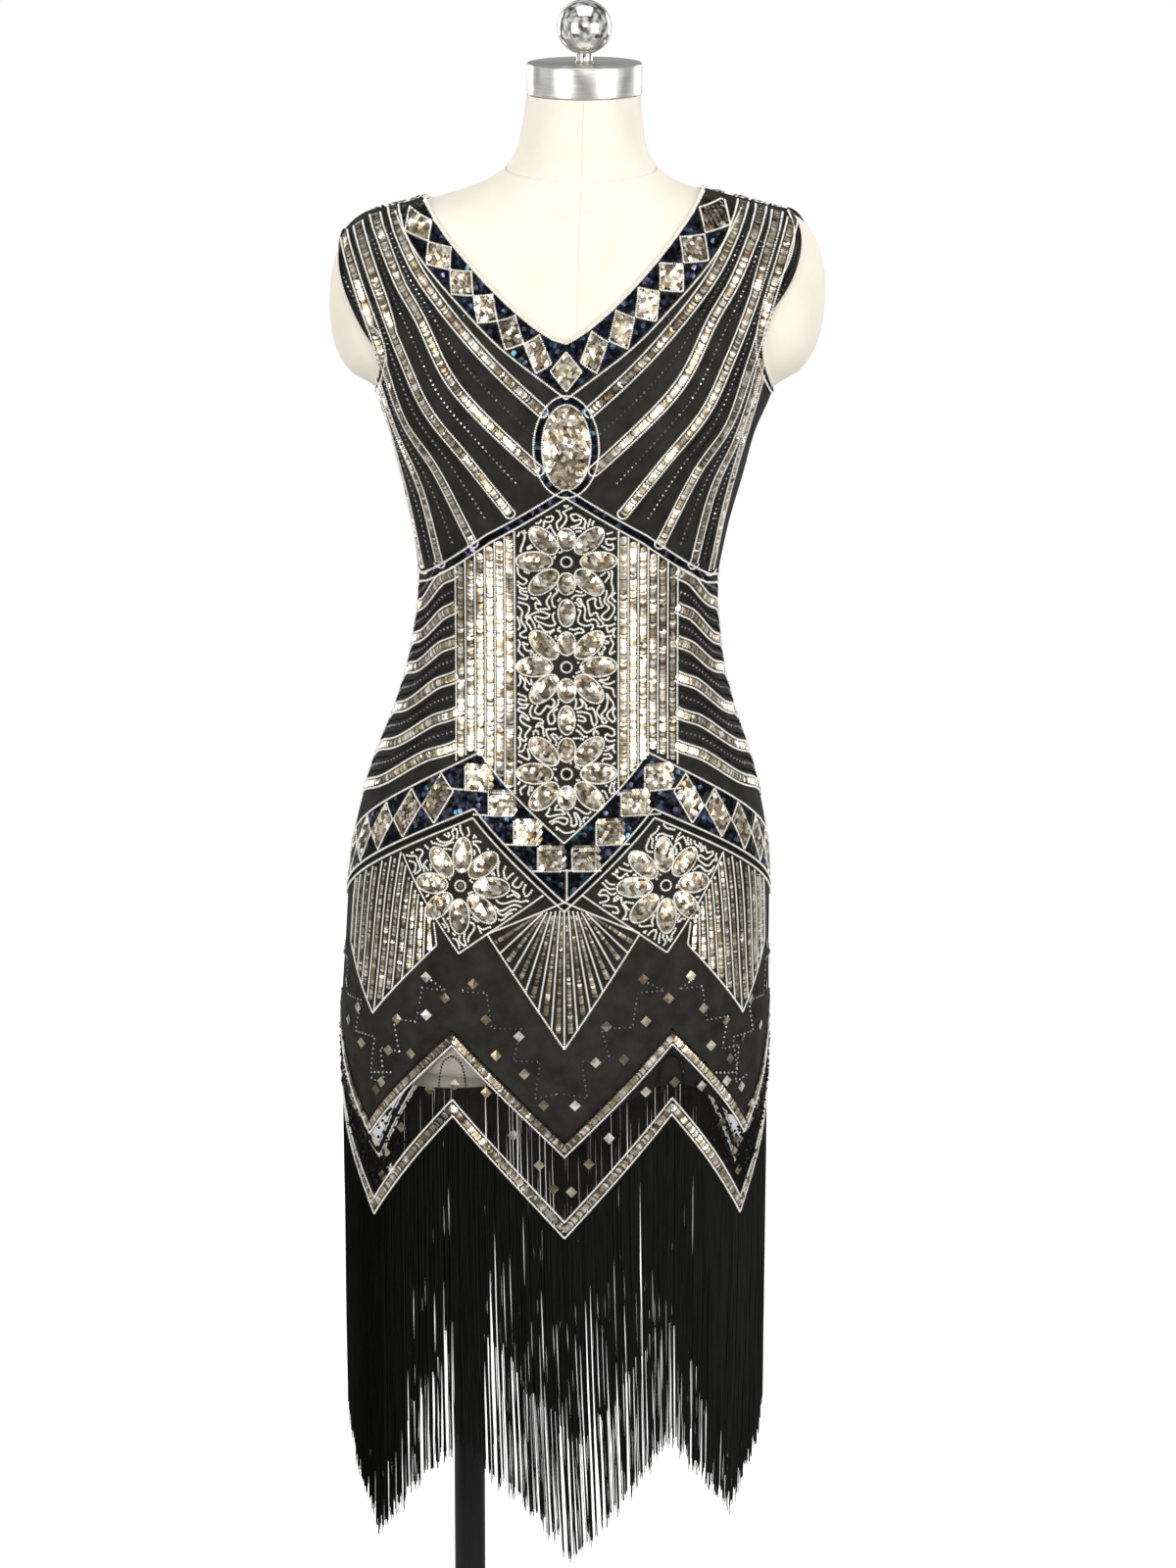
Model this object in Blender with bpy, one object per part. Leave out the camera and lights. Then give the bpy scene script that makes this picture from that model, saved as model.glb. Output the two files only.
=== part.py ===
"""Sleeveless beaded cocktail dress with a zigzag fringed hem, on a limbless dress form.

Metres, +Z up. The front faces -Y and the origin is under the middle of the round base, on the floor.
Run with: blender --background --python part.py
"""
import math
import random

import bpy
import numpy as np

# Cloth and clearances
CLOTH = 0.0015            # dress wall, beaded net
LINING_CLOTH = 0.0010     # slip lining wall
SEAT_GAP = 0.0008         # dress to form on shoulders, bust and waist
SKIRT_GAP = 0.0022        # dress to form below the hip, with the slip between
LINING_GAP = 0.0007       # slip lining to form
SLIP_CLEAR_LOW = 0.905    # the wider skirt gap ends above this height
SLIP_CLEAR_TOP = 0.985    # and the seat gap starts here
PIECE_GAP = 0.0003        # between pieces that touch
SEAM_HALF_GAP = 0.14      # degrees, half of the slit between front and back at a seam
FRINGE_HALF_GAP = 0.25    # degrees, the same for the two halves of the fringe

# Heights
UNDERARM_Z = 1.207        # lowest point of the armholes, and the centre of the upper rays
SKIRT_Z = 0.700           # rows of the skirt are level above this height
STUB_FOOT_Z = 0.656       # underside of the stub that takes the pole
FORM_FOOT_Z = 0.672       # flat underside of the rest of the torso
NECK_TOP_Z = 1.437        # top of the covered neck, under the steel cap

# Grids that the form, the slip and the dress share, so that their walls nest
COLUMNS = 18              # across the front, and as many across the back
UPPER_ROWS = 12           # from the underarm to the shoulder seam
NECK_ROW = 4              # the row that meets the neck point
LEVELS = np.linspace(SKIRT_Z, UNDERARM_Z, 15)
SKIRT_SHARES = (0, 0.34, 0.67)
LINING_LEVELS = 6         # the slip reaches up to this many of the level rows
NECK_RINGS = 7
STUMP_ROWS = 4
WELD = 2e-6               # points closer than this are one point
SHARP_ANGLE = 40          # degrees, edges above it stay crisp

# X of the base's centre, measured from the dress's centre front
CENTRE_X = 0.0103

# The body leans a little to +X as it rises, as the form does on its pole
LEAN_Z = 0.700
LEAN_X = -0.008
LEAN = 0.0315             # metres of shift for each metre of height

# Neckline, from the lowest point at the centre to the neck end of the shoulder seam
NECK_HALF = 0.1077
FRONT_NECK_Z = 1.2576
BACK_NECK_Z = 1.275
FRONT_NECK_CURVE = 1.35
BACK_NECK_CURVE = 1.9

# Armhole, in degrees seen from the centre of the upper rays
ARMHOLE_TOP = 36.0        # elevation of the shoulder tip
FRONT_SCOOP = 20.5        # how far the armhole cuts into the front
BACK_SCOOP = 16.0
ARMHOLE_ROUND = 0.6       # below 1 makes the armhole's ends rounder
ARMHOLE_SAG = 0.75        # below 1 puts its widest part nearer the underarm
ARMHOLE_BACK = 0.2        # share of the last column by which the cloth stops short of the stump

# Zigzag hem: six points round the dress, one at the centre front
HEM_POINTS = 6
HEM_LOW_Z = 0.545         # at the points
HEM_HIGH_Z = 0.642        # between them
BACK_LIFT = 0.018         # the hem rises this much from front to back
LINING_HEM_Z = 0.660
LINING_WAVE = 0.030

# Fringe
STRIP_HEIGHT = 0.005
STRIP_GAP = 0.0013        # straight down from the slanted hem edge
STRIP_DEPTH = 0.0016
LOCKS = 66                # for each half of the hem, a multiple of three to meet the hem's points
LOCK_LENGTH = 0.265
LOCK_UNEVEN = 0.006
FRINGE_SWAY = 0.985       # the curtain closes in this much at its lower end

# Stumps that round off the form's shoulders
STUMP_X = 0.148
STUMP_Z = 1.279
STUMP_SIZE = (0.045, 0.054, 0.068)
STUMP_POWER = 2.3
BLEND = 0.05              # how softly the stumps run into the torso
STUMP_MIDDLE = 0.55       # where its rings close, as a share of the armhole's height

# Stand and fittings
STUB_X = -0.088
STUB_RADIUS = 0.068
STUB_RINGS = ((STUB_FOOT_Z, 0.94), (STUB_FOOT_Z + 0.005, 1.0), (FORM_FOOT_Z, 1.0))
FOOT_RINGS = ((FORM_FOOT_Z, 0.91), (FORM_FOOT_Z + 0.006, 0.965), (FORM_FOOT_Z + 0.016, 0.992))
CAP_RADIUS = 0.0447
CAP_HEIGHT = 0.0243
CAP_X = 0.0158
STEM_RADIUS = 0.0062
STEM_HEIGHT = 0.007
BALL_RADIUS = 0.0212
BALL_BANDS = 12
POLE_X = -0.078
POLE_RADIUS = 0.0125
BASE_RADIUS = 0.160
BASE_HEIGHT = 0.008
SOCKET_RADIUS = 0.024
SOCKET_NECK = 0.005       # the socket's collar is this much narrower than its flange
SOCKET_FLANGE = 0.006
SOCKET_HEIGHT = 0.035
EDGE = 0.001              # broken edges of the turned pieces

# Oval sequinned medallion under the neckline
MEDALLION_Z = 1.183
MEDALLION_HALF = (0.020, 0.031)
MEDALLION_RISE = 0.0030
MEDALLION_RIM = 0.0010
MEDALLION_RINGS = 3
MEDALLION_SPOKES = 24

# Colour, roughness and metallic value of each finish
BEADED_NET = ((0.012, 0.012, 0.012), 0.75, 0.0)
SLIP_SATIN = ((0.010, 0.010, 0.010), 0.60, 0.0)
FRINGE_YARN = ((0.006, 0.006, 0.006), 0.45, 0.0)
GOLD_SEQUINS = ((0.62, 0.50, 0.32), 0.25, 0.9)
IVORY_COVER = ((0.86, 0.80, 0.67), 0.85, 0.0)
BRUSHED_STEEL = ((0.60, 0.58, 0.55), 0.28, 1.0)
POLISHED_STEEL = ((0.60, 0.58, 0.55), 0.12, 1.0)
BLACK_PAINT = ((0.020, 0.020, 0.022), 0.40, 0.6)

# Figure sections: height, half width, depth in front of the axis, depth behind it, squareness
SECTIONS = (
    (0.250, 0.1595, 0.102, 0.104, 2.15),
    (0.514, 0.1612, 0.106, 0.108, 2.15),
    (0.564, 0.1615, 0.107, 0.110, 2.15),
    (0.613, 0.1645, 0.108, 0.112, 2.15),
    (0.662, 0.1670, 0.108, 0.114, 2.15),
    (0.711, 0.1672, 0.107, 0.118, 2.15),
    (0.760, 0.1655, 0.106, 0.121, 2.15),
    (0.808, 0.1640, 0.105, 0.122, 2.15),
    (0.857, 0.1590, 0.103, 0.118, 2.15),
    (0.905, 0.1470, 0.099, 0.108, 2.15),
    (0.953, 0.1308, 0.093, 0.094, 2.15),
    (1.000, 0.1198, 0.088, 0.080, 2.15),
    (1.048, 0.1148, 0.087, 0.072, 2.15),
    (1.095, 0.1210, 0.099, 0.078, 2.15),
    (1.142, 0.1323, 0.112, 0.087, 2.20),
    (1.175, 0.1400, 0.117, 0.093, 2.25),
    (1.207, 0.1522, 0.113, 0.096, 2.30),
    (1.245, 0.1600, 0.101, 0.096, 2.35),
    (1.285, 0.1660, 0.087, 0.091, 2.40),
    (1.318, 0.1690, 0.075, 0.083, 2.35),
    (1.336, 0.1660, 0.067, 0.077, 2.25),
    (1.346, 0.1500, 0.062, 0.072, 2.15),
    (1.355, 0.1210, 0.058, 0.067, 2.05),
    (1.364, 0.0900, 0.054, 0.062, 2.00),
    (1.373, 0.0690, 0.050, 0.056, 2.00),
    (1.385, 0.0555, 0.048, 0.051, 2.00),
    (1.402, 0.0487, 0.046, 0.047, 2.00),
    (1.437, 0.0443, 0.0443, 0.0443, 2.00),
    (1.470, 0.0430, 0.0430, 0.0430, 2.00),
)


def section_curves():
    """The section table as columns, with smooth slopes for cubic interpolation."""
    table = np.array(SECTIONS)
    heights, values = table[:, 0], table[:, 1:]
    steps = np.diff(heights)[:, None]
    chords = np.diff(values, axis=0) / steps
    slopes = np.zeros_like(values)
    slopes[0], slopes[-1] = chords[0], chords[-1]
    same_way = chords[:-1] * chords[1:] > 0
    mean = 2 * chords[:-1] * chords[1:] / np.where(same_way, chords[:-1] + chords[1:], 1)
    slopes[1:-1] = np.where(same_way, mean, 0)
    return heights, values, slopes


HEIGHTS, VALUES, SLOPES = section_curves()


def section(z):
    """Half width, front depth, back depth and squareness at heights z."""
    z = np.clip(z, HEIGHTS[0], HEIGHTS[-1])
    k = np.clip(np.searchsorted(HEIGHTS, z) - 1, 0, len(HEIGHTS) - 2)
    step = HEIGHTS[k + 1] - HEIGHTS[k]
    t = ((z - HEIGHTS[k]) / step)[..., None]
    step = step[..., None]
    low, high = VALUES[k], VALUES[k + 1]
    cubic = (low * (1 + 2 * t) * (1 - t) ** 2 + high * t ** 2 * (3 - 2 * t)
             + SLOPES[k] * step * t * (1 - t) ** 2 - SLOPES[k + 1] * step * t ** 2 * (1 - t))
    return np.moveaxis(cubic, -1, 0)


def lean_x(z):
    """Sideways shift of the form's middle line at heights z."""
    return LEAN_X + LEAN * np.maximum(z - LEAN_Z, 0)


def smooth_step(low, high, value):
    t = np.clip((value - low) / (high - low), 0, 1)
    return t * t * (3 - 2 * t)


def figure_field(p):
    """Negative inside the figure, positive outside: stacked sections joined softly to two stumps."""
    x, y, z = np.moveaxis(np.asarray(p, float), -1, 0)
    half, front, back, power = section(z)
    across = np.abs(x - lean_x(z)) / half
    along = np.abs(y) / np.where(y < 0, front, back)
    torso = (across ** power + along ** power) ** (1 / power) - 1
    side = np.abs(x - lean_x(z)) - STUMP_X
    terms = [np.abs(v / s) ** STUMP_POWER for v, s in zip((side, y, z - STUMP_Z), STUMP_SIZE)]
    stump = (sum(terms) ** (1 / STUMP_POWER) - 1) * STUMP_SIZE[0] / 0.1
    mix = np.clip(0.5 + 0.5 * (stump - torso) / BLEND, 0, 1)
    return stump * (1 - mix) + torso * mix - BLEND * mix * (1 - mix)


def reach(origin, direction, furthest=0.30, steps=26):
    """Points where rays from inside leave the figure for good."""
    origin, direction = np.broadcast_arrays(np.asarray(origin, float), np.asarray(direction, float))
    lengths = np.linspace(0, furthest, 121)
    inside = np.stack([figure_field(origin + direction * s) < 0 for s in lengths])
    last = len(lengths) - 1 - np.argmax(inside[::-1], axis=0)
    low, high = lengths[last], lengths[np.minimum(last + 1, len(lengths) - 1)]
    for _ in range(steps):
        middle = (low + high) / 2
        within = figure_field(origin + direction * middle[..., None]) < 0
        low, high = np.where(within, middle, low), np.where(within, high, middle)
    return origin + direction * ((low + high) / 2)[..., None]


def outward(p, reach_of=0.0005):
    """Unit normals of the figure at points p."""
    grads = [figure_field(p + reach_of * e) - figure_field(p - reach_of * e) for e in np.eye(3)]
    grad = np.stack(grads, axis=-1)
    return grad / np.linalg.norm(grad, axis=-1, keepdims=True)


def level_rays(turn, z):
    """Directions of level rays at angles turn, in degrees: 0 at the front, 90 at +X, evened on the oval."""
    half, front, back, _ = section(z)
    angle = np.radians(turn)
    sideways = half * np.sin(angle)
    forward = -np.where(np.cos(angle) > 0, front, back) * np.cos(angle)
    direction = np.stack([sideways, forward, np.zeros_like(sideways)], axis=-1)
    return direction / np.linalg.norm(direction, axis=-1, keepdims=True)


def low_points(turn, z):
    """Figure points at angle turn and height z, for the underarm and below."""
    turn, z = np.broadcast_arrays(np.asarray(turn, float), np.asarray(z, float))
    origin = np.stack([np.zeros_like(z), np.zeros_like(z), z], axis=-1)
    return reach(origin, level_rays(turn, z))


def high_points(turn, rise):
    """Figure points above the underarm, at angle turn and elevation rise from the upper centre."""
    turn, rise = np.broadcast_arrays(np.asarray(turn, float), np.asarray(rise, float))
    flat = level_rays(turn, np.full(turn.shape, UNDERARM_Z))
    up = np.radians(rise)[..., None]
    direction = flat * np.cos(up) + np.array([0, 0, 1.0]) * np.sin(up)
    return reach((0, 0, UNDERARM_Z), direction)


def ray_angles(p):
    """Turn and rise of a point p, the reverse of high_points."""
    half, front, back, _ = section(np.array(UNDERARM_Z))
    depth = front if p[1] < 0 else back
    turn = math.degrees(math.atan2(p[0] / half, -p[1] / depth))
    rise = math.degrees(math.atan2(p[2] - UNDERARM_Z, math.hypot(p[0], p[1])))
    return turn, rise


def neckline(side, front, share):
    """Turn and rise at a share of the way from the centre of the neckline to the shoulder seam."""
    x = side * NECK_HALF * share
    ridge = reach((side * NECK_HALF, 0, UNDERARM_Z), (0, 0, 1))[2]
    low, curve = (FRONT_NECK_Z, FRONT_NECK_CURVE) if front else (BACK_NECK_Z, BACK_NECK_CURVE)
    z = low + (ridge - low) * share ** curve
    facing = -1 if front else 1
    if share >= 1:
        return ray_angles((x, facing * 1e-6, ridge))
    turn, rise = ray_angles(reach((x, 0, z), (0, facing, 0)))
    if not front and share == 0:
        turn = side * 180
    return turn, rise


def armhole(side, front, share, edge):
    """Turn and rise at a share of the way from the underarm to the shoulder tip."""
    scoop = FRONT_SCOOP if front else BACK_SCOOP
    turn = edge - scoop * math.sin(math.pi * share ** ARMHOLE_SAG) ** ARMHOLE_ROUND
    return side * (turn if front else 180 - turn), ARMHOLE_TOP * share


def hem_height(turn):
    """Height of the zigzag edge at angle turn."""
    spacing = 360 / HEM_POINTS
    share = np.abs((turn / spacing + 0.5) % 1 - 0.5) * 2
    lift = BACK_LIFT * (1 - np.cos(np.radians(turn))) / 2
    return HEM_LOW_Z + (HEM_HIGH_Z - HEM_LOW_Z) * share + lift


def dress_gap(z):
    """Clearance between the form and the dress at heights z."""
    return SEAT_GAP + (SKIRT_GAP - SEAT_GAP) * smooth_step(SLIP_CLEAR_TOP, SLIP_CLEAR_LOW, z)


def half_turns(front, edge, count=COLUMNS):
    """Angles across one half of the body, in the order that makes its faces look outward."""
    turns = np.linspace(-edge, edge, count + 1)
    return turns if front else turns + 180


def quarter(side, front, edge, to_stump=False):
    """Points of one upper quarter, by row from the underarm to the shoulder.

    Each row runs from the centre or the neckline to the cloth's armhole edge, and on to the start of the
    stump where to_stump is set.
    """
    centre = 0.0 if front else side * 180.0
    low_neck = neckline(side, front, 0)[1]
    seam = side * (edge if front else 180 - edge)
    rows = []
    for k in range(UPPER_ROWS + 1):
        share = k / UPPER_ROWS
        if k <= NECK_ROW:
            inner = (centre, low_neck * k / NECK_ROW)
        else:
            inner = neckline(side, front, (k - NECK_ROW) / (UPPER_ROWS - NECK_ROW))
        outer = armhole(side, front, share, edge)
        across = np.linspace(0, 1, COLUMNS // 2 + 1)
        turn = inner[0] + (outer[0] - inner[0]) * across
        rise = inner[1] + (outer[1] - inner[1]) * across
        if k == UPPER_ROWS:
            turn = np.full(across.shape, seam)
        row = high_points(turn, rise)
        stump_edge = row[-1:].copy()
        if k > 0:
            row[-1] += (row[-2] - row[-1]) * ARMHOLE_BACK
        rows.append(np.concatenate([row, stump_edge]) if to_stump else row)
    if (side > 0) == front:
        return rows
    return [row[::-1] for row in rows]


def weld(sheets):
    """Points and triangles of grids of rows, sharing the points that coincide.

    Every cell is cut along the same diagonal, so that walls on one grid stay parallel.
    """
    points = np.concatenate([row for rows in sheets for row in rows])
    same = np.abs(points[:, None] - points[None]).max(axis=-1) < WELD
    kept, place = np.unique(same.argmax(axis=1), return_inverse=True)
    faces, start = [], 0
    for rows in sheets:
        width = len(rows[0])
        grid = place[start:start + width * len(rows)].reshape(len(rows), width).tolist()
        start += width * len(rows)
        for low, high in zip(grid, grid[1:]):
            for a, b, c, d in zip(low, low[1:], high[1:], high):
                faces += [f for f in ([a, b, c], [a, c, d]) if len(set(f)) == 3]
    return points[kept], faces


def finish_object(name, verts, faces, colour, roughness, metallic):
    """A named mesh object with its own material, moved so that the base is centred on the origin."""
    moved = np.asarray(verts) - np.array([CENTRE_X, 0, 0])
    mesh = bpy.data.meshes.new(name)
    mesh.from_pydata([tuple(map(float, v)) for v in moved], [], [list(map(int, f)) for f in faces])
    mesh.validate()
    material = bpy.data.materials.new(name)
    material.use_nodes = True
    shader = material.node_tree.nodes["Principled BSDF"]
    shader.inputs["Base Color"].default_value = (*colour, 1)
    shader.inputs["Roughness"].default_value = roughness
    shader.inputs["Metallic"].default_value = metallic
    mesh.materials.append(material)
    mesh.shade_smooth()
    mesh.set_sharp_from_angle(angle=math.radians(SHARP_ANGLE))
    made = bpy.data.objects.new(name, mesh)
    bpy.context.collection.objects.link(made)
    return made


def wall(points, faces, inner, outer):
    """A closed wall from a sheet: its points moved out by inner and outer, joined round every open edge."""
    normals = outward(points)
    count = len(points)
    verts = np.concatenate([points + normals * np.reshape(outer, (-1, 1)),
                            points + normals * np.reshape(inner, (-1, 1))])
    closed = list(faces) + [[i + count for i in reversed(f)] for f in faces]
    edges = {(a, b) for f in faces for a, b in zip(f, f[1:] + f[:1])}
    for a, b in sorted(edges):
        if (b, a) not in edges:
            closed.append([b, a, a + count, b + count])
    return verts, closed


def build_panel(front):
    """One body panel from the zigzag hem to the shoulder seams, split above the neck point."""
    edge = 90 - SEAM_HALF_GAP
    turns = half_turns(front, edge)
    hem = hem_height(turns)
    rows = [low_points(turns, hem + (SKIRT_Z - hem) * s) for s in SKIRT_SHARES]
    rows += [low_points(turns, z) for z in LEVELS]
    points, faces = weld([rows, quarter(-1, front, edge), quarter(1, front, edge)])
    gap = dress_gap(points[:, 2])
    return wall(points, faces, gap, gap + CLOTH)


def build_lining():
    """Plain slip under the net, from the hip to a softly waved hem."""
    turns = np.linspace(0, 360, 2 * COLUMNS + 1)
    hem = LINING_HEM_Z - LINING_WAVE * np.cos(np.radians(turns) * HEM_POINTS)
    rows = [low_points(turns, hem), low_points(turns, (hem + SKIRT_Z) / 2)]
    rows += [low_points(turns, z) for z in LEVELS[:LINING_LEVELS]]
    points, faces = weld([rows])
    gap = np.full(len(points), LINING_GAP)
    return wall(points, faces, gap, gap + LINING_CLOTH)


def build_fringe(front, seed):
    """A narrow strip along the zigzag, with every second stretch of its underside drawn down as a lock."""
    rng = random.Random(seed)
    turns = half_turns(front, 90 - FRINGE_HALF_GAP, 2 * LOCKS)
    top = hem_height(turns) - STRIP_GAP
    low = top - STRIP_HEIGHT
    base = low_points(turns, top)
    normals = outward(base) * np.array([1, 1, 0])
    normals /= np.linalg.norm(normals, axis=1, keepdims=True)
    middle = SKIRT_GAP + CLOTH / 2
    back_line = base + normals * (middle - STRIP_DEPTH / 2)
    face_line = base + normals * (middle + STRIP_DEPTH / 2)
    verts = []
    for line, heights in ((face_line, top), (back_line, top), (back_line, low), (face_line, low)):
        verts += [(p[0], p[1], z) for p, z in zip(line, heights)]
    count = len(turns)
    face_top, back_top, back_low, face_low = (range(k * count, (k + 1) * count) for k in range(4))
    faces = [(face_top[0], back_top[0], back_low[0], face_low[0]),
             (face_top[-1], face_low[-1], back_low[-1], back_top[-1])]
    for i in range(count - 1):
        n = i + 1
        faces.append((face_low[i], face_low[n], face_top[n], face_top[i]))
        faces.append((face_top[i], face_top[n], back_top[n], back_top[i]))
        faces.append((back_top[i], back_top[n], back_low[n], back_low[i]))
        rim = (back_low[i], back_low[n], face_low[n], face_low[i])
        if i % 2 == 0:
            faces.append(rim)
            continue
        end_z = (low[i] + low[n]) / 2 - LOCK_LENGTH + rng.uniform(-1, 1) * LOCK_UNEVEN
        tip = len(verts)
        for corner in rim:
            x, y, _ = verts[corner]
            verts.append((x * FRINGE_SWAY, y * FRINGE_SWAY, end_z))
        faces.append((tip, tip + 1, tip + 2, tip + 3))
        for a in range(4):
            b = (a + 1) % 4
            faces.append((rim[a], rim[b], tip + b, tip + a))
    return np.array(verts), faces


def foot_rows(turns):
    """The closed underside of the torso: a flat foot, its rounded rim, and the stub that takes the pole."""
    angle = np.radians(turns)
    rows = []
    for z, scale in STUB_RINGS:
        radius = STUB_RADIUS * scale
        rows.append(np.stack([STUB_X + radius * np.sin(angle), -radius * np.cos(angle),
                              np.full(turns.shape, z)], axis=-1))
    middle = np.tile([STUB_X, 0, STUB_RINGS[0][0]], (len(turns), 1))
    for z, scale in FOOT_RINGS:
        ring = low_points(turns, z)
        middle_line = np.array([LEAN_X, 0, z])
        rows.append(middle_line + (ring - middle_line) * scale)
    return [middle] + rows


def stump_rows(side):
    """Rings from the armhole's edge to the middle of the stump."""
    shares = np.arange(UPPER_ROWS + 1) / UPPER_ROWS
    front = [armhole(side, True, s, 90) for s in shares]
    back = [armhole(side, False, s, 90) for s in shares[::-1]]
    loop = np.array(front + back[1:])
    if side > 0:
        loop = loop[::-1]
    middle = np.array([side * 90, ARMHOLE_TOP * STUMP_MIDDLE])
    rows = []
    for share in np.linspace(0, 1, STUMP_ROWS + 1):
        ring = loop + (middle - loop) * share
        rows.append(high_points(ring[:, 0], ring[:, 1]))
    return rows


def neck_rows():
    """Rings from the dress's neckline up to the flat top of the covered neck."""
    steps = UPPER_ROWS - NECK_ROW
    right = [neckline(1, True, k / steps) for k in range(steps)]
    right += [neckline(1, False, k / steps) for k in range(steps, -1, -1)]
    left = [neckline(-1, False, k / steps) for k in range(1, steps)]
    left += [neckline(-1, True, k / steps) for k in range(steps, -1, -1)]
    loop = np.array(right + left)
    over = np.abs(np.abs(loop[:, 0]) - 90) < 0.01
    loop[over, 0] = np.sign(loop[over, 0]) * 90
    base = high_points(loop[:, 0], loop[:, 1])
    half = section(np.array(NECK_TOP_Z))[0]
    angle = np.radians(loop[:, 0])
    top = np.stack([lean_x(NECK_TOP_Z) + half * np.sin(angle), -half * np.cos(angle),
                    np.full(angle.shape, NECK_TOP_Z)], axis=-1)
    rows = [base]
    for share in np.linspace(0, 1, NECK_RINGS + 1)[1:]:
        aim = base + (top - base) * share
        origin = np.stack([lean_x(aim[:, 2]), np.zeros(len(aim)), aim[:, 2]], axis=-1)
        flat = (aim - origin) / np.linalg.norm(aim - origin, axis=1, keepdims=True)
        rows.append(reach(origin, flat))
    rows.append(np.tile([lean_x(NECK_TOP_Z), 0, NECK_TOP_Z], (len(base), 1)))
    return rows


def build_torso():
    """The covered torso, on the same rows and columns as the dress where the dress covers it."""
    turns = np.linspace(0, 360, 2 * COLUMNS + 1)
    level = foot_rows(turns) + [low_points(turns, z) for z in LEVELS]
    quarters = [quarter(side, front, 90, to_stump=True) for side in (-1, 1) for front in (True, False)]
    return weld([level] + quarters + [stump_rows(-1), stump_rows(1), neck_rows()])


def turned(name, profile, x, segments, finish, ring=False):
    """A piece turned about the vertical line at x. profile is (radius, height) from the bottom up.

    A ring's profile is a closed loop, anticlockwise with +radius to the right; other pieces get flat ends.
    """
    colour, roughness, metallic = finish
    angles = 2 * np.pi * np.arange(segments) / segments
    verts = [(x + radius * c, radius * s, z)
             for radius, z in profile for c, s in zip(np.cos(angles), np.sin(angles))]
    count = len(profile)
    rows = [[j * segments + k for k in range(segments)] for j in range(count)]
    pairs = [(rows[j], rows[(j + 1) % count]) for j in range(count if ring else count - 1)]
    faces = [[low[k - 1], low[k], high[k], high[k - 1]] for low, high in pairs for k in range(segments)]
    if not ring:
        faces += [rows[0][::-1], rows[-1]]
    return finish_object(name, verts, faces, colour, roughness, metallic)


def build_medallion():
    """A low oval dome laid on the front, made from the panel's own surface."""
    gap = dress_gap(MEDALLION_Z) + CLOTH + PIECE_GAP
    angles = 2 * np.pi * np.arange(MEDALLION_SPOKES) / MEDALLION_SPOKES
    shares = np.repeat(np.arange(1, MEDALLION_RINGS + 1) / MEDALLION_RINGS, MEDALLION_SPOKES)
    shares = np.concatenate([[0], shares])
    angles = np.concatenate([[0], np.tile(angles, MEDALLION_RINGS)])
    x = MEDALLION_HALF[0] * shares * np.cos(angles)
    z = MEDALLION_Z + MEDALLION_HALF[1] * shares * np.sin(angles)
    points = reach(np.stack([x, np.zeros(len(x)), z], axis=-1), (0, -1, 0))
    rise = MEDALLION_RIM + (MEDALLION_RISE - MEDALLION_RIM) * (1 - shares ** 2)
    faces = []
    for s in range(MEDALLION_SPOKES):
        a, b = 1 + s, 1 + (s + 1) % MEDALLION_SPOKES
        faces.append([0, a, b])
        for _ in range(MEDALLION_RINGS - 1):
            faces.append([a, a + MEDALLION_SPOKES, b + MEDALLION_SPOKES, b])
            a, b = a + MEDALLION_SPOKES, b + MEDALLION_SPOKES
    return wall(points, faces, np.full(len(points), gap), gap + rise)


def build_neck_fittings():
    """The brushed steel cap and the ball that stands on it."""
    low, top = NECK_TOP_Z + PIECE_GAP, NECK_TOP_Z + CAP_HEIGHT
    cap = [(CAP_RADIUS - EDGE, low), (CAP_RADIUS, low + EDGE),
           (CAP_RADIUS, top - EDGE), (CAP_RADIUS - EDGE, top)]
    turned("neck_cap", cap, CAP_X, 40, BRUSHED_STEEL)
    foot = top + PIECE_GAP
    start = math.asin(STEM_RADIUS / BALL_RADIUS)
    middle = foot + STEM_HEIGHT + BALL_RADIUS * math.cos(start)
    angles = np.linspace(start, math.pi, BALL_BANDS, endpoint=False)
    ball = [(BALL_RADIUS * math.sin(a), middle - BALL_RADIUS * math.cos(a)) for a in angles]
    stem = [(STEM_RADIUS + EDGE, foot), (STEM_RADIUS, foot + EDGE)]
    turned("finial", stem + ball + [(EDGE, middle + BALL_RADIUS)], CAP_X, 28, POLISHED_STEEL)


def build_stand():
    """Pole, the socket that holds it and the round base."""
    low = BASE_HEIGHT + PIECE_GAP
    pole = [(POLE_RADIUS, low), (POLE_RADIUS, STUB_FOOT_Z - PIECE_GAP)]
    turned("stand_pole", pole, POLE_X, 24, BLACK_PAINT)
    bore, collar = POLE_RADIUS + PIECE_GAP, SOCKET_RADIUS - SOCKET_NECK
    flange, top = low + SOCKET_FLANGE, BASE_HEIGHT + SOCKET_HEIGHT
    socket = [(bore, low), (SOCKET_RADIUS, low), (SOCKET_RADIUS, flange), (collar, flange + SOCKET_NECK),
              (collar, top - EDGE), (collar - EDGE, top), (bore, top)]
    turned("stand_socket", socket, POLE_X, 24, BLACK_PAINT, ring=True)
    base = [(BASE_RADIUS - EDGE, 0), (BASE_RADIUS, EDGE), (BASE_RADIUS, BASE_HEIGHT - 2 * EDGE),
            (BASE_RADIUS - 2 * EDGE, BASE_HEIGHT)]
    turned("stand_base", base, CENTRE_X, 64, BLACK_PAINT)


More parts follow.
